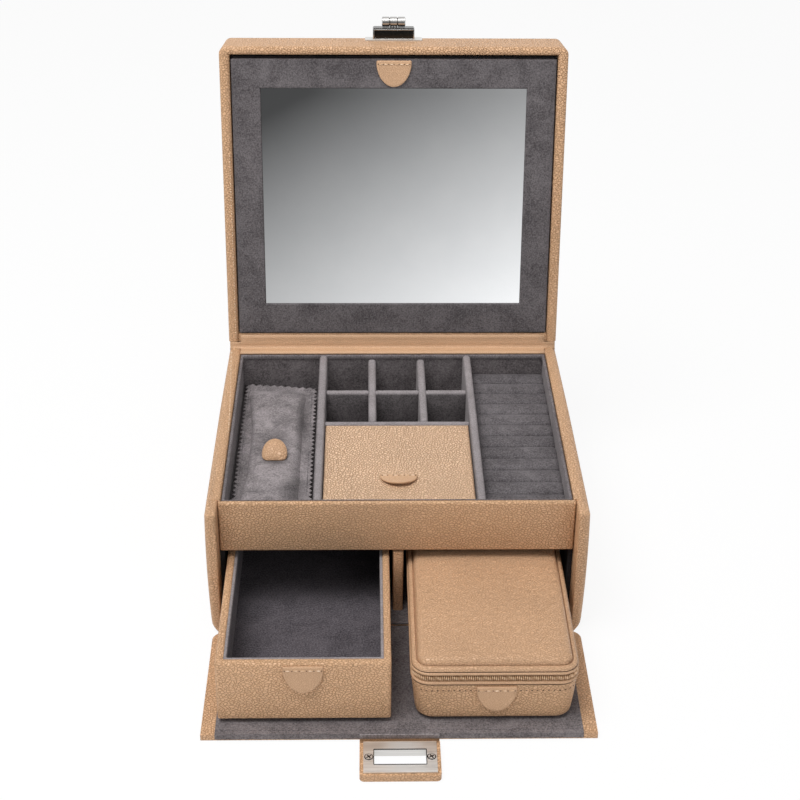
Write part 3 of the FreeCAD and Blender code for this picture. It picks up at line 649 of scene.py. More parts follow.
# A thin dark frame where the tray's lip meets the leather: painted shade in the joint.
edge_line = frame_mesh(rounded_plan(*grown(TRAY_IN, EDGE_SHADE_OUT), EDGE_SHADE_R),
                       rounded_plan(*grown(TRAY_IN, EDGE_SHADE_IN), EDGE_SHADE_R),
                       rim_profile(EDGE_SHADE_TOP, EDGE_SHADE_LOW, EDGE_SHADE_R))
add_piece("tray_edge_shade", edge_line, "case", shadow_yarn)

# %% [markdown]
# Five half-moon tabs open the drawer, the travel case, the mirror panel, the compartment and the pouch. Each is
# two layers of leather with a turned edge. Rings of points from the underside over the edge to the crowned top
# give that edge.

# %% Tab shape
TAB_T, TAB_ARC, TAB_CORNER = 1.6, 28, 5
TAB_SHOULDER, TAB_TAPER = 0.17, 0.07
TAB_SHORTER, TAB_HIGHER = 0.91, 0.7


def tab_outline(width, length, corner, taper, inset):
    """Half-moon: straight end on y = 0, round end at y = -length, drawn in by the inset."""
    half = width / 2 - inset
    shoulder = max(TAB_SHOULDER * length, 1.45 * corner)
    deep = length - shoulder - inset
    bend = max(corner - inset, 0.2)
    points = []
    rise = 0
    if shoulder < inset + bend:
        rise = math.asin((shoulder - inset) / deep)
        points = [(half * (1 + taper * min(math.sin(rise), 0)) * math.cos(rise), -inset)] * TAB_CORNER
    else:
        for step in range(TAB_CORNER):
            angle = math.pi / 2 * (1 - step / (TAB_CORNER - 1))
            points.append((half - bend + bend * math.cos(angle), -inset - bend + bend * math.sin(angle)))
    left_end = [(-x, y) for x, y in reversed(points)]
    for step in range(TAB_ARC + 1):
        angle = rise - (math.pi + 2 * rise) * step / TAB_ARC
        narrow = 1 + taper * min(math.sin(angle), 0)
        points.append((half * narrow * math.cos(angle), deep * math.sin(angle) - shoulder))
    return points + left_end


def leather_tab(name, cad_node, body, place, width, length, crown, lift, corner, finish, taper=TAB_TAPER):
    """Tab with a turned edge and a crowned top; its round end stands off by the lift."""
    edge = [(0.5, 0.0), (0.1, 0.25), (0.0, TAB_T * 0.55), (0.15, TAB_T * 0.85), (0.55, TAB_T),
            (1.4, TAB_T + crown * 0.35), (3.2, TAB_T + crown * 0.75), (5.5, TAB_T + crown)]
    rings = []
    for inset, height in edge:
        outline = tab_outline(width, length, corner, taper, inset)
        rings.append([place @ mm(x, y, height + lift * (y / length) ** 2) for x, y in outline])
    return add_piece(name, skin(rings), body, finish, [cad_node])


# %% [markdown]
# Each tab needs a place, a width and a length. Two hang on an upright front, one lies on the compartment's lid,
# one on the mirror panel, which swings with the lid, and one stands up from the pouch.

# %% Leather tabs
PANEL_TAB_AT, PANEL_TAB_W, PANEL_TAB_L = (0, -105.6, 98.3), 25.4, 19.2
POUCH_TAB_FOOT, POUCH_TAB_TILT, POUCH_TAB_W, POUCH_TAB_L = (-85.9, -16.0, 75.0), math.radians(29), 18.0, 17.6
upright = Matrix.Rotation(math.pi / 2, 4, "X")
tab_places = {}
for name, front in (("drawer_tab", DRAWER_FRONT), ("travel_tab", TRAVEL_FRONT)):
    low, high = cad_mm(name)
    hung = Matrix.Translation(mm((low.x + high.x) / 2, front, high.z + TAB_HIGHER)) @ upright
    tab_places[name] = (hung, high.x - low.x, TAB_SHORTER * (high.z - low.z))
low, high = cad_mm("compartment_tab")
on_lid = Matrix.Translation(mm((low.x + high.x) / 2, high.y, low.z))
tab_places["compartment_tab"] = (on_lid, high.x - low.x, high.y - low.y)
on_panel = opened @ Matrix.Translation(mm(*PANEL_TAB_AT)) @ Matrix.Rotation(math.pi, 4, "X")
tab_places["panel_tab"] = (on_panel, PANEL_TAB_W, PANEL_TAB_L)
for name, body, crown, lift in (("drawer_tab", "drawer", 0.2, 0.9), ("travel_tab", "travel_case", 0.2, 0.9),
                                ("compartment_tab", "front_compartment_lid", 0.6, 2.6),
                                ("panel_tab", "mirror_panel", 0.2, 0.4)):
    leather_tab("stitched_" + name, name, body, *tab_places[name], crown, lift, 1.0, tab_leather)
on_pouch = (Matrix.Translation(mm(*POUCH_TAB_FOOT)) @ Matrix.Rotation(POUCH_TAB_TILT, 4, "X")
            @ Matrix.Rotation(math.pi, 4, "Z"))
leather_tab("pouch_pull_tab", "pouch_tab", "pouch", on_pouch, POUCH_TAB_W, POUCH_TAB_L, 1.6, 0.0, 4.0,
            pressed_leather, 0.0)

# %% [markdown]
# Rings are kept between thirteen rolls of suede over foam, with a narrow fold between them. Each roll follows a
# rounded-square curve from fold to fold, and a little noise keeps them from being copies of each other.

# %% Ring rolls
ROLL_COUNT, ROLL_STEPS, ROLL_SQUARE = 13, 12, 3.6
FOLD_DEEP, DROOP, DROOP_W = 4.5, 0.7, 4
RIPPLE, RIPPLE_SIZE, SUNK = 0.35, 11, 0.3
COLUMNS = 24
low, high = cad_mm("ring_rolls")
pitch = (high.y - low.y) / ROLL_COUNT
profile = []
for roll in range(ROLL_COUNT):
    middle = low.y + (roll + 0.5) * pitch
    for step in range(ROLL_STEPS if roll < ROLL_COUNT - 1 else ROLL_STEPS + 1):
        angle = math.pi * (step / ROLL_STEPS - 0.5)
        across = math.copysign(abs(math.sin(angle)) ** (2 / ROLL_SQUARE), angle)
        rise = abs(math.cos(angle)) ** (2 / ROLL_SQUARE)
        profile.append((middle + across * pitch / 2, rise))
rings = []
for column in range(COLUMNS + 1):
    x = low.x + (high.x - low.x) * column / COLUMNS
    to_wall = min(x - low.x, high.x - x)
    droop = DROOP * max(0.0, 1 - to_wall / DROOP_W) ** 2
    ring = [mm(x, low.y, low.z)]
    for y, rise in profile:
        ripple = RIPPLE * noise.noise(Vector((x, y, 0)) / RIPPLE_SIZE)
        ring.append(mm(x, y, high.z - FOLD_DEEP + FOLD_DEEP * rise - droop + (ripple - SUNK) * rise))
    ring.append(mm(x, high.y, low.z))
    rings.append(ring)
ring_rolls = add_piece("suede_ring_rolls", skin(rings), "case", lining_suede, ["ring_rolls"])

# %% [markdown]
# The pouch is a loose bag of soft suede. It starts as a smaller plain cushion, and Blender's Cloth fills it
# with air for twenty frames, so that its skin tightens and wrinkles as a filled bag does. No point may move
# further than a few millimetres.

# %% Pouch cushion
POUCH_X, POUCH_Y, POUCH_Z = (-113.5, -58.3), (-92.0, 95.0), (60.1, 75.4)
HEM_W, HEM_RIGHT, HEM_Z = 3.2, 3.8, 70.6
CUSHION_R, CUSHION_POINTS, CUSHION_STEPS = 7.0, 22, 5
TOP_IN, TOP_HIGH, FOOT_IN, FOOT_DEEP = 9, 3.8, 7, 10.0
VOXEL, PRESSURE, FURTHEST, AIR_FRAMES = 4.5, 4.0, 4.0, 20


def puffed(mesh):
    """Skin of a mesh, blown up by Blender's Cloth."""
    blank = show("puffing", mesh)
    remesh = blank.modifiers.new("remesh", "REMESH")
    remesh.mode = "VOXEL"
    remesh.voxel_size = VOXEL * MM
    depsgraph = bpy.context.evaluated_depsgraph_get()
    even = bpy.data.meshes.new_from_object(blank.evaluated_get(depsgraph))
    blank.modifiers.remove(remesh)
    blank.data = even
    before = [vert.co.copy() for vert in even.vertices]
    cloth = blank.modifiers.new("cloth", "CLOTH")
    cloth.settings.use_pressure = True
    cloth.settings.uniform_pressure_force = PRESSURE
    cloth.settings.effector_weights.gravity = 0
    for step in range(1, AIR_FRAMES + 1):
        scene.frame_set(step)
    blown = blank.evaluated_get(bpy.context.evaluated_depsgraph_get()).data
    after = [vert.co.copy() for vert in blown.vertices]
    blank.modifiers.remove(cloth)
    scene.frame_set(1)
    for vert, old, new in zip(even.vertices, before, after):
        shift = new - old
        if shift.length > FURTHEST * MM:
            shift *= FURTHEST * MM / shift.length
        vert.co = old + shift
    bpy.data.objects.remove(blank)
    return even


rings = []
for step in range(-CUSHION_STEPS, CUSHION_STEPS + 1):
    angle = math.radians(90 * step / CUSHION_STEPS)
    inset = HEM_W + 0.6 + (TOP_IN if step > 0 else FOOT_IN) * (1 - math.cos(angle))
    rise = (TOP_HIGH if step > 0 else FOOT_DEEP) * math.sin(angle)
    plan = rounded_plan(POUCH_X[0] + inset, POUCH_X[1] - HEM_RIGHT + HEM_W - inset, POUCH_Y[0] + inset,
                        POUCH_Y[1] - inset, CUSHION_R, CUSHION_POINTS)
    rings.append([mm(*point, HEM_Z + rise) for point in plan])
pouch_mesh = puffed(skin(rings))
print("the cushion has", len(pouch_mesh.vertices), "points")

# %% [markdown]
# Hands have pressed the pouch: a dimple lies under its tab, a valley along its right side and a dent in front.
# They are pressed in at given places too, because Cloth would put its folds anywhere. Nothing may leave the space
# that the tray gives the pouch.

# %% Pouch body
DIMPLE_AT, DIMPLE_R, DIMPLE = Vector((-85.9, -6.0)), 10, 1.8
VALLEY_X, VALLEY_W, VALLEY = -67.5, 4.5, 1.6
DENT_AT, DENT_W, DENT_L, DENT = Vector((-71, -68)), 8, 15, 1.8
WRINKLE, WRINKLE_SIZE, WRINKLE_NARROW = 0.8, 13, 1.6
for vert in pouch_mesh.vertices:
    wrinkle = noise.noise(Vector((vert.co.x * WRINKLE_NARROW, vert.co.y, vert.co.z)) / (WRINKLE_SIZE * MM))
    x, y = vert.co.xy / MM
    dimple = math.exp(-((Vector((x, y)) - DIMPLE_AT).length / DIMPLE_R) ** 2)
    valley = math.exp(-((x - VALLEY_X) / VALLEY_W) ** 2)
    dent = math.exp(-((x - DENT_AT.x) / DENT_W) ** 2 - ((y - DENT_AT.y) / DENT_L) ** 2)
    vert.co.z += MM * (WRINKLE * wrinkle - DIMPLE * dimple - VALLEY * valley - DENT * dent)
    for axis, (least, most) in enumerate((POUCH_X, POUCH_Y, POUCH_Z)):
        vert.co[axis] = min(max(vert.co[axis], least * MM), most * MM)
pouch_mesh.shade_smooth()
pouch = add_piece("suede_pouch", pouch_mesh, "pouch", pouch_suede, ["pouch_body"])
smooth = pouch.modifiers.new("smooth", "SUBSURF")
smooth.levels = smooth.render_levels = 1

# %% [markdown]
# Where the pouch is pressed in, its suede is painted darker: painted shade in the valley along its right side, in
# the dent in front and round the tab, and a painted shadow under the tab, darkest of all. Soft oval marks on the
# suede do that. Each is full in its middle and gone at its edge.

# %% Painted shade on the pouch
VALLEY_SHADE = ((VALLEY_X, 50), (7.5, 70), 0.5)
DENT_SHADE = ((-71, -54), (14, 30), 0.5)
DIMPLE_SHADE = ((-88, 11), (19, 21), 0.6)
TAB_SHADOW = ((-86, -17), (14, 8), 0.35)
nap = pouch_suede.node_tree
nap_shader = nap.nodes["Principled BSDF"]
place = node(nap, "TexCoord")["Object"]
colour = nap_shader.inputs["Base Color"].links[0].from_socket
# Each mark darkens the colour towards its middle: painted shade, and painted shadow under the tab.
for at, half, dark in (VALLEY_SHADE, DENT_SHADE, DIMPLE_SHADE, TAB_SHADOW):
    centred = node(nap, "Mapping", {"Vector": place, "Scale": (per_mm(half[0]), per_mm(half[1]), 0),
                                    "Location": (-at[0] / half[0], -at[1] / half[1], 0)})
    away = node(nap, "VectorMath", {0: centred[0]}, operation="LENGTH")["Value"]
    colour = scaled(nap, colour, mapped(nap, away, 0, 1, dark, 1.0, "SMOOTHSTEP"))
feed(nap, nap_shader, {"Base Color": colour})
print("the pouch has four dark marks")

# %% [markdown]
# The two sides of the pouch are sewn together a little inside their edge, and the edge is cut with pinking
# shears so that it doesn't fray. The zigzag is one closed strip round the pouch, whose inner side runs into
# the seam.

# %% Pinked hem
PINK_PITCH, PINK_DEPTH = 5.5, 2.4
HEM_T, HEM_REACH, HEM_REAR = 1.2, 9.5, 102
HEM_WAVE, HEM_WAVE_SIZE = 0.9, 26


def hem_wave(point):
    """How far the hem waves up or down at a point."""
    return HEM_WAVE * noise.noise(Vector((point.x, point.y, 3)) / HEM_WAVE_SIZE)


corners = [Vector(corner) for corner in ((POUCH_X[0], POUCH_Y[0]), (POUCH_X[1], POUCH_Y[0]),
                                         (POUCH_X[1], POUCH_Y[1]), (POUCH_X[0], HEM_REAR))]
outer = []
for start, end in zip(corners, corners[1:] + corners[:1]):
    run = end - start
    inward = Vector((-run.y, run.x)).normalized()
    teeth = round(run.length / PINK_PITCH)
    for tooth in range(teeth):
        outer.append(start + run * (tooth / teeth))
        outer.append(start + run * ((tooth + 0.5) / teeth) + inward * PINK_DEPTH)
inner = [Vector((min(max(p.x, POUCH_X[0] + HEM_REACH), POUCH_X[1] - HEM_REACH),
                 min(max(p.y, POUCH_Y[0] + HEM_REACH), POUCH_Y[1] - HEM_REACH))) for p in outer]
rings = []
for points, side in ((inner, -1), (outer, -1), (outer, 1), (inner, 1)):
    rings.append([mm(p.x, p.y, HEM_Z + side * HEM_T / 2 + hem_wave(p)) for p in points])
add_piece("pinked_hem", skin(rings, True, cut=True), "pouch", pouch_suede)

# %% [markdown]
# Small things that repeat are made by Geometry Nodes: a group takes a guide mesh and a few inputs, and its result
# becomes a plain mesh. One function starts a group, one ends it and one runs it.

# %% Node groups
def node_group(name, inputs):
    """New group: its tree, what it is given, and the key of each input."""
    tree = bpy.data.node_groups.new(name, "GeometryNodeTree")
    keys = {}
    for label, kind in inputs.items():
        socket = tree.interface.new_socket(label, in_out="INPUT", socket_type="NodeSocket" + kind)
        keys[label] = socket.identifier
    tree.interface.new_socket("Made", in_out="OUTPUT", socket_type="NodeSocketGeometry")
    return tree, node(tree, "NodeGroupInput"), keys


def end_group(tree, geometry, finish):
    """Dress what a group has made, and hand it out."""
    dressed = node(tree, "SetMaterial", {"Geometry": geometry, "Material": finish})
    node(tree, "NodeGroupOutput", {"Made": dressed[0]})


def run_group(points, edges, tree, keys, values):
    """Plain mesh that a group makes from a guide of points and edges."""
    mesh = bpy.data.meshes.new("guide")
    mesh.from_pydata(points, edges, [])
    guide = show("guide", mesh)
    maker = guide.modifiers.new("maker", "NODES")
    maker.node_group = tree
    for label, value in values.items():
        maker[keys[label]] = value
    depsgraph = bpy.context.evaluated_depsgraph_get()
    made = bpy.data.meshes.new_from_object(guide.evaluated_get(depsgraph))
    guide.modifiers.remove(maker)
    bpy.data.objects.remove(guide)
    return made


# %% [markdown]
# Stitches and zip teeth repeat along a path, so one group makes them all: it walks along the path, puts a small
# bead at each step and turns it along the path. Its inputs are the step, the size of a bead and the finish.

# %% A row along a path
row_tree, given, row_keys = node_group("row_along_path", {"Path": "Geometry", "Step": "Float", "Bead": "Vector",
                                                          "Finish": "Material"})
path = node(row_tree, "MeshToCurve", {"Mesh": given["Path"]})
places = node(row_tree, "CurveToPoints", {"Curve": path[0], "Length": given["Step"]}, mode="LENGTH")
along = node(row_tree, "FunctionNodeAlignRotationToVector", {"Vector": places["Tangent"]}, axis="X")
bead = node(row_tree, "MeshUVSphere", {"Segments": 8, "Rings": 5, "Radius": 0.5})
sized = node(row_tree, "Transform", {"Geometry": bead[0], "Scale": given["Bead"]})
row = node(row_tree, "InstanceOnPoints", {"Points": places[0], "Instance": sized[0], "Rotation": along[0]})
real = node(row_tree, "RealizeInstances", {"Geometry": row[0]})
soft = node(row_tree, "SetShadeSmooth", {"Geometry": real[0]})
end_group(row_tree, soft[0], given["Finish"])


def row_along(name, points, step, bead_size, finish, body, closed=False):
    """Beads along a path, as one plain mesh on one body."""
    edges = [(at, at + 1) for at in range(len(points) - 1)]
    if closed:
        edges.append((len(points) - 1, 0))
    values = {"Step": step * MM, "Bead": [size * MM for size in bead_size], "Finish": finish}
    made = run_group(points, edges, row_tree, row_keys, values)
    return add_piece(name, made, body, finish)


# %% [markdown]
# The tabs are sewn on below their straight end with a thick linen thread, about four millimetres a stitch.
# The base of the travel case has one such seam all round, a little below its zip.

# %% Stitches
STITCH, HOLE, STITCH_STEP = (2.7, 0.8, 0.7), (0.9, 0.9, 0.35), 3.8
TAB_SEAM = 2.6
BASE_SEAM, BASE_STEP = 29.1, 3.5
for name, body, seam_rise in (("drawer_tab", "drawer", 0.25), ("travel_tab", "travel_case", 0.25),
                              ("panel_tab", "mirror_panel", 0.25),
                              ("compartment_tab", "front_compartment_lid", 0.55)):
    place = tab_places[name][0]
    for kind, count, bead_size, finish in (("stitches", 5, STITCH, thread), ("holes", 6, HOLE, shadow_yarn)):
        half = count * STITCH_STEP / 2
        seam = [place @ mm(x, -TAB_SEAM, TAB_T + seam_rise) for x in (-half, half)]
        row_along(name + "_" + kind, seam, STITCH_STEP, bead_size, finish, body)
seam = travel_path(0, BASE_SEAM)
row_along("travel_base_stitches", seam, BASE_STEP, (2.3, 0.5, 0.6), tab_leather, "travel_case", True)
seam = seam[1:] + seam[:1]
row_along("travel_base_holes", seam, BASE_STEP, (1.6, 0.5, 0.8), shadow_yarn, "travel_case", True)

# %% [markdown]
# Finer seams hold the edges. A lap of leather is caught along the left rim of the body and of the lid, the suede of
# the flap is turned over its front edge and sewn down, and a seam closes the pouch along its hem. On the flap and
# the pouch the seam is a row of dark suede beads that paints the shade in the seam line.

# %% Fine seams
FINE_STITCH, FINE_STEP = (1.3, 0.9, 0.7), 2.1
FLAP_STITCH, FLAP_STEP = (2.6, 0.5, 0.3), 3.0
POUCH_STITCH, POUCH_STEP = (1.9, 0.45, 0.5), 2.6
lap = [mm(*point) for point in ((-124.0, 107.4, 95.6), (-121.8, 63.8, 95.8), (-119.2, 20.0, 95.7),
                                (-118.2, -10.0, 95.3))]
row_along("body_lap_seam", lap, FINE_STEP, FINE_STITCH, thread, "case")
lap = [opened @ mm(-121.0, y, 96.5) for y in (-35, 108)]
row_along("lid_lap_seam", lap, FINE_STEP, FINE_STITCH, thread, "lid")
turn_in = [mm(x, -220.6, 5.2) for x in (-114.5, 114.5)]
# Dark suede beads: painted shade in the seam lines of the flap and the pouch.
row_along("flap_seam", turn_in, FLAP_STEP, FLAP_STITCH, drawer_suede_and_seam_shade, "flap")
hem_line = rounded_plan(POUCH_X[0] + HEM_W, POUCH_X[1] - HEM_RIGHT, POUCH_Y[0] + HEM_W, POUCH_Y[1] - HEM_W, 3.0)
seam = [mm(*point, HEM_Z + HEM_T / 2 + hem_wave(point)) for point in hem_line]
row_along("pouch_seam", seam, POUCH_STEP, POUCH_STITCH, drawer_suede_and_seam_shade, "pouch", True)

# %% [markdown]
# The zip runs all round the travel case between two piped lips, cords under leather with a dark crease beyond
# each. Its two rows of coil meet in the middle of the tape, so a row of upright beads stands for the wound thread.

# %% Zip coil
COIL, COIL_STEP, COIL_IN = (1.0, 1.8, 3.6), 1.3, 0.3
LIP_OUT, LIP_IN, LIP_R, LIP_STEPS = 0.7, 1.6, 1.2, 12
LIP_FROM_ZIP, CREASE_FROM_ZIP, CREASE_HALF = 3.6, 5.0, 0.3
zip_low, zip_high = cad_mm("zip_band")
zip_z = (zip_low.z + zip_high.z) / 2
row_along("zip_coil", travel_path(COIL_IN, zip_z), COIL_STEP, COIL, zip_coil, "travel_case", True)
for name, way in (("upper_zip", 1), ("lower_zip", -1)):
    lip_z, crease_z = zip_z + way * LIP_FROM_ZIP, zip_z + way * CREASE_FROM_ZIP
    profile = []
    for step in range(LIP_STEPS):
        angle = math.tau * step / LIP_STEPS
        profile.append((0.5 - 0.5 * math.cos(angle), lip_z + LIP_R * math.sin(angle)))
    lip = frame_mesh(travel_plan(-LIP_OUT, lip_z), travel_plan(LIP_IN, lip_z), profile)
    add_piece(name + "_lip", lip, "travel_case", tab_leather)
    # Beyond each lip a thin dark frame paints the shade in the crease.
    profile = [(share, crease_z + rise * CREASE_HALF) for share, rise in ((0, -1), (0, 1), (1, 1), (1, -1))]
    crease = frame_mesh(travel_plan(-0.12, crease_z), travel_plan(0.5, crease_z), profile)
    add_piece(name + "_crease", crease, "travel_case", shadow_yarn)

# %% [markdown]
# Inside, one strip of leather runs from the rim of the body up to the lid and covers the hinge. It is one thin skin
# between the body and the lid. Between the walls it has its full height; at both ends only the fold goes on.

# %% Hinge leather
HINGE_HALF, HINGE_STEPS, FOLD_HALF = 117.2, 40, 125.6
FOLD_FRONT, FOLD_TOP = 112.9, 100.0
hinge_front = [(105.6, 95.9), (109.5, 95.95), (112.6, 95.8), (113.6, 95.5), (114.6, 96.0), (115.3, 97.0),
               (115.5, 98.0), (115.45, 99.2), (115.9, 100.2), (116.2, 103.0), (116.55, 105.95)]
hinge_back = [(117.0, 105.95), (116.7, 103.0), (116.35, 100.2), (116.1, 98.8), (115.9, 97.0), (115.2, 95.3),
              (113.6, 95.0), (109.5, 95.0), (105.6, 95.0)]
full = hinge_front + hinge_back
fold_only = [(max(y, FOLD_FRONT), min(z, FOLD_TOP)) for y, z in full]
stations = [(HINGE_HALF * (2 * step / HINGE_STEPS - 1), full) for step in range(HINGE_STEPS + 1)]
stations = ([(-FOLD_HALF, fold_only), (-HINGE_HALF - 0.1, fold_only)] + stations
            + [(HINGE_HALF + 0.1, fold_only), (FOLD_HALF, fold_only)])
rings = [[mm(x, y, z) for y, z in outline] for x, outline in stations]
hinge = add_piece("hinge_leather", skin(rings), None, tab_leather)
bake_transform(hinge)
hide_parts("hinge_strip_body", "hinge_strip_lid")

# %% [markdown]
# The clasp tab hangs on the flap by leather alone. A soft skin fills the fold between the two stiff boards; it and
# a strip along the tab's edge are dark leather that paints the shade in the fold. A welt of suede, painted paler to
# make up for the shade that the tab throws on the flap's front, edges the flap there.

# %% Clasp fold
CLASP_HALF, CLASP_STEPS = 24.7, 12
fold_top = [(-224.05, 1.5), (-225.4, 1.5), (-226.8, 1.9), (-228.2, 2.7), (-229.3, 3.6), (-230.1, 4.1)]
fold_under = [(-230.1, 1.05), (-224.05, 1.05)]
WELT_LOW, WELT_HIGH, WELT_R = (-25.0, -224.5, 1.2), (25.0, -223.7, 4.9), 0.3
rings = []
for step in range(CLASP_STEPS + 1):
    x = CLASP_HALF * (2 * step / CLASP_STEPS - 1)
    rings.append([mm(x, y, z) for y, z in fold_top + fold_under])
clasp_fold = add_piece("clasp_fold_leather", skin(rings), None, painted_shade_leather)
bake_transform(clasp_fold)
tab_low, tab_high = cad_mm("clasp_tab_leather")
# A dark strip along the tab's edge: painted shade where the tab bends down into the fold.
bend = soft_board((tab_low.x + 0.3, tab_high.y - 1.6, tab_high.z - 1.0),
                  (tab_high.x - 0.3, tab_high.y - 0.05, tab_high.z + 0.2), 0.5)
add_piece("clasp_edge_shade", bend, "clasp_tab", painted_shade_leather)
# The welt is paler suede: painted light against the shade that the tab throws on the flap's front.
welt = soft_board(WELT_LOW, WELT_HIGH, WELT_R)
add_piece("clasp_welt", welt, "flap", painted_light_welt_suede)

# %% [markdown]
# Two cross-head screws hold the steel plate. They are alike, so Geometry Nodes cut one head from a disc and two
# bars and place it at each hole.

# %% Screws
SCREW_X, SCREW_R, SCREW_H, SCREW_TURN = 19.3, 2.2, 0.7, 0.6
CROSS = (3.8, 0.9, 1.5)
screw_tree, given, screw_keys = node_group("cross_head_screws", {"Holes": "Geometry", "Radius": "Float",
                                                                 "Height": "Float", "Slot": "Vector",
                                                                 "Finish": "Material"})
disc = node(screw_tree, "MeshCylinder", {"Vertices": 24, "Radius": given["Radius"], "Depth": given["Height"]})
bar = node(screw_tree, "MeshCube", {"Size": given["Slot"]})
lifted = node(screw_tree, "ShaderNodeCombineXYZ", {"Z": given["Height"]})
raised = node(screw_tree, "Transform", {"Geometry": bar[0], "Translation": lifted[0]})
crossed = node(screw_tree, "Transform", {"Geometry": raised[0], "Rotation": (0, 0, math.pi / 2)})
cut = node(screw_tree, "MeshBoolean", {"Mesh 1": disc[0]}, operation="DIFFERENCE")
for cutter in (raised, crossed):
    feed(screw_tree, cut[0].node, {"Mesh 2": cutter[0]})
heads = node(screw_tree, "InstanceOnPoints",
             {"Points": given["Holes"], "Instance": cut[0], "Rotation": (0, 0, SCREW_TURN)})
real = node(screw_tree, "RealizeInstances", {"Geometry": heads[0]})
end_group(screw_tree, real[0], given["Finish"])

plate_low, plate_high = cad_mm("clasp_slot_plate")
screw_y = (plate_low.y + plate_high.y) / 2
holes = [mm(x, screw_y, plate_high.z) for x in (-SCREW_X, SCREW_X)]
screw_sizes = {"Radius": SCREW_R * MM, "Height": SCREW_H * MM, "Slot": [size * MM for size in CROSS],
               "Finish": brushed_steel}
screws = run_group(holes, [], screw_tree, screw_keys, screw_sizes)
add_piece("plate_screws", screws, "clasp_tab", brushed_steel)

# %% [markdown]
# Each screw sits in a dark seat, and the slot has a dark edge where its collar is pressed over: both are dark metal
# that paints the shade in those recesses. The seats are two flat beads, one at each end of a row, and the edge is a
# narrow frame.

# %% Seats and slot edge
SEAT = (6.2, 6.2, 0.5)
SLOT_PLAN, SLOT_EDGE = (-16.0, 16.0, -251.65, -238.65), 0.5
row_along("screw_seats", holes, 2 * SCREW_X, SEAT, painted_dark_metal, "clasp_tab")
slot_edge = frame_mesh(rounded_plan(*grown(SLOT_PLAN, SLOT_EDGE), 0.7), rounded_plan(*SLOT_PLAN, 0.3),
                       rim_profile(plate_high.z + 0.3, plate_high.z - 0.3, 0.25))
add_piece("slot_edge", slot_edge, "clasp_tab", painted_dark_metal)

# %% [markdown]
# The block of the lock has a bevel round its lower face, the one that the camera sees. A thin frame of chrome on
# that bevel paints a highlight along it, while the block itself is dark metal. It is drawn with the lid shut, like
# the lid itself.

# %% Lock edge
LOCK_PLAN, LOCK_LOW = (-15.2, 15.2, -124.1, -116.5), 119.25
EDGE_W, EDGE_R = 0.9, 0.2
# Chrome frame on the dark block: a painted highlight along its bevel.
lock_edge_highlight = frame_mesh(rounded_plan(*LOCK_PLAN, EDGE_R), rounded_plan(*grown(LOCK_PLAN, -EDGE_W), EDGE_R),
                       rim_profile(LOCK_LOW - 0.12, LOCK_LOW + 0.3, 0.1), place=opened)
add_piece("lock_edge_highlight", lock_edge_highlight, "lid", chrome)

# %% [markdown]
# The scene is a plain white table in a white room. To the camera and to shiny things both are white, and the
# table still takes the shadow of the case. Painted white alone, they would look grey in soft light.

# %% Room and table
ROOM_GLOW, TABLE_GLOW = 0.34, 0.9
TABLE_HALF, TABLE_Z = 4.0, -0.0003
WHITE = (1, 1, 1, 1)
scene.view_settings.view_transform = "Standard"


def seen_directly(tree):
    """1 for rays from the camera, or by way of a mirror or glass."""
    rays = node(tree, "LightPath")
    straight = maths(tree, "MAXIMUM", rays["Is Camera Ray"], rays["Is Glossy Ray"])
    return maths(tree, "MAXIMUM", straight, rays["Is Transmission Ray"])


def sheet(name, corners, paint):
    """Flat sheet over four corners."""
    mesh = bpy.data.meshes.new(name)
    mesh.from_pydata(corners, [], [(0, 1, 2, 3)])
    mesh.materials.append(paint)
    return show(name, mesh)


world = bpy.data.worlds.new("white_room")
world.use_nodes = True
scene.world = world
air = world.node_tree
strength = mapped(air, seen_directly(air), 0, 1, ROOM_GLOW, 1.0)
feed(air, air.nodes["Background"], {"Color": WHITE, "Strength": strength})

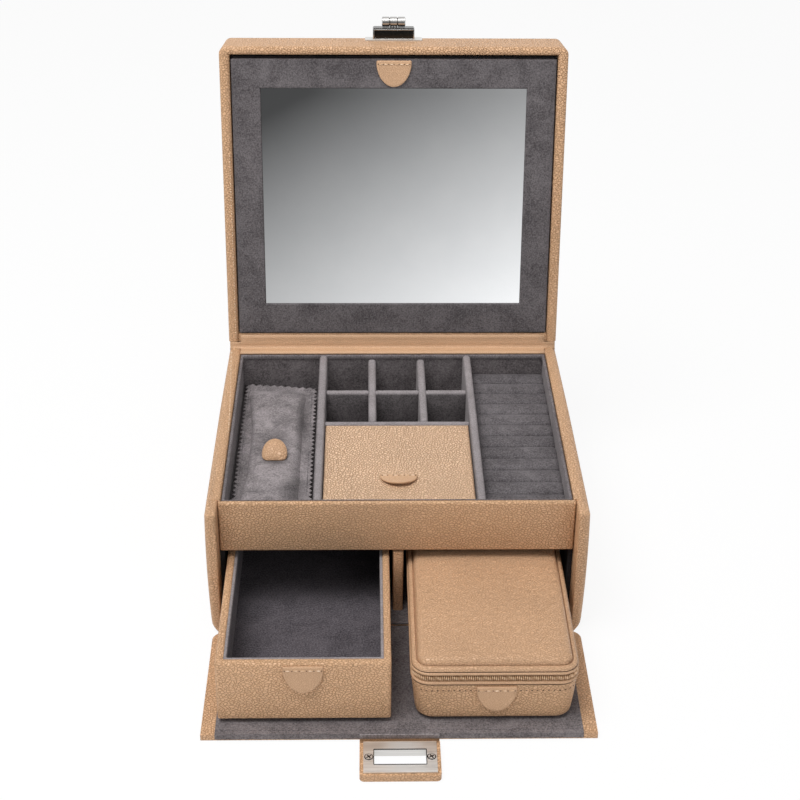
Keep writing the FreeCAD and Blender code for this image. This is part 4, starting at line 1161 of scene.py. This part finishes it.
table_paint, tree, shader, place = material("white_table_paint")
feed(tree, shader, {"Base Color": srgb("#F4F4F4"), "Roughness": 0.8})
glow = node(tree, "Emission", {"Color": WHITE, "Strength": 1.0})
share = maths(tree, "MULTIPLY", seen_directly(tree), TABLE_GLOW)
both = node(tree, "MixShader", {0: share, 1: shader.outputs[0], 2: glow[0]})
feed(tree, tree.nodes["Material Output"], {"Surface": both[0]})
table = sheet("table", [(x * TABLE_HALF, y * TABLE_HALF, TABLE_Z) for x, y in ((-1, -1), (1, -1), (1, 1), (-1, 1))],
              table_paint)
print("the table is", 2 * TABLE_HALF, "metres wide")

# %% [markdown]
# One large lamp hangs above the case, and a weaker one fills its front. Large lamps give soft shadows.

# %% Lamps
LAMP_AIM = (0, 0, 0.1)
for name, at, size, watts in (("overhead_lamp", (-0.5, -0.45, 1.9), 1.2, 33.5),
                              ("front_lamp", (0.9, -1.9, 1.2), 1.4, 7)):
    lamp = bpy.data.lights.new(name, "AREA")
    lamp.size = size
    lamp.energy = watts
    hung = show(name, lamp)
    hung.location = at
    hung.rotation_euler = (Vector(LAMP_AIM) - Vector(at)).to_track_quat("-Z", "Y").to_euler()
    print(name, "has", watts, "watts")

# %% [markdown]
# A mirror shows the studio, so a card stands where it looks. The card glows though it is no lamp, a painted
# reflection: bright below and darker above, and brighter to the right. Only shiny things see it, and it throws no
# shadow.

# %% Mirror card
CARD_X, CARD_Y, CARD_TOP = 0.4, -0.45, 0.6
FALL_Z, FALL = (0.06, 0.29), (0.82, 0.18)
SLANT_X, SLANT = (-0.15, 0.15), (-0.22, 0.22)
SLANT_LOW, SLANT_GAIN, DARKEST = 0.75, 0.7, 0.075
card_paint, tree, shader, place = material("card_painted_reflection")
at = node(tree, "SeparateXYZ", {0: place})
fall = mapped(tree, at["Z"], *FALL_Z, *FALL)
slant = mapped(tree, at["X"], *SLANT_X, *SLANT)
spread = maths(tree, "MULTIPLY_ADD", fall, SLANT_GAIN, SLANT_LOW)
shade = maths(tree, "MAXIMUM", maths(tree, "MULTIPLY_ADD", slant, spread, fall), DARKEST)
glow = node(tree, "Emission", {"Color": WHITE, "Strength": shade})
feed(tree, tree.nodes["Material Output"], {"Surface": glow[0]})
card = sheet("mirror_card", [(-CARD_X, CARD_Y, 0), (CARD_X, CARD_Y, 0), (CARD_X, CARD_Y, CARD_TOP),
                             (-CARD_X, CARD_Y, CARD_TOP)], card_paint)
card.visible_camera = card.visible_diffuse = card.visible_shadow = False
print("the card is", 2 * CARD_X, "metres wide")
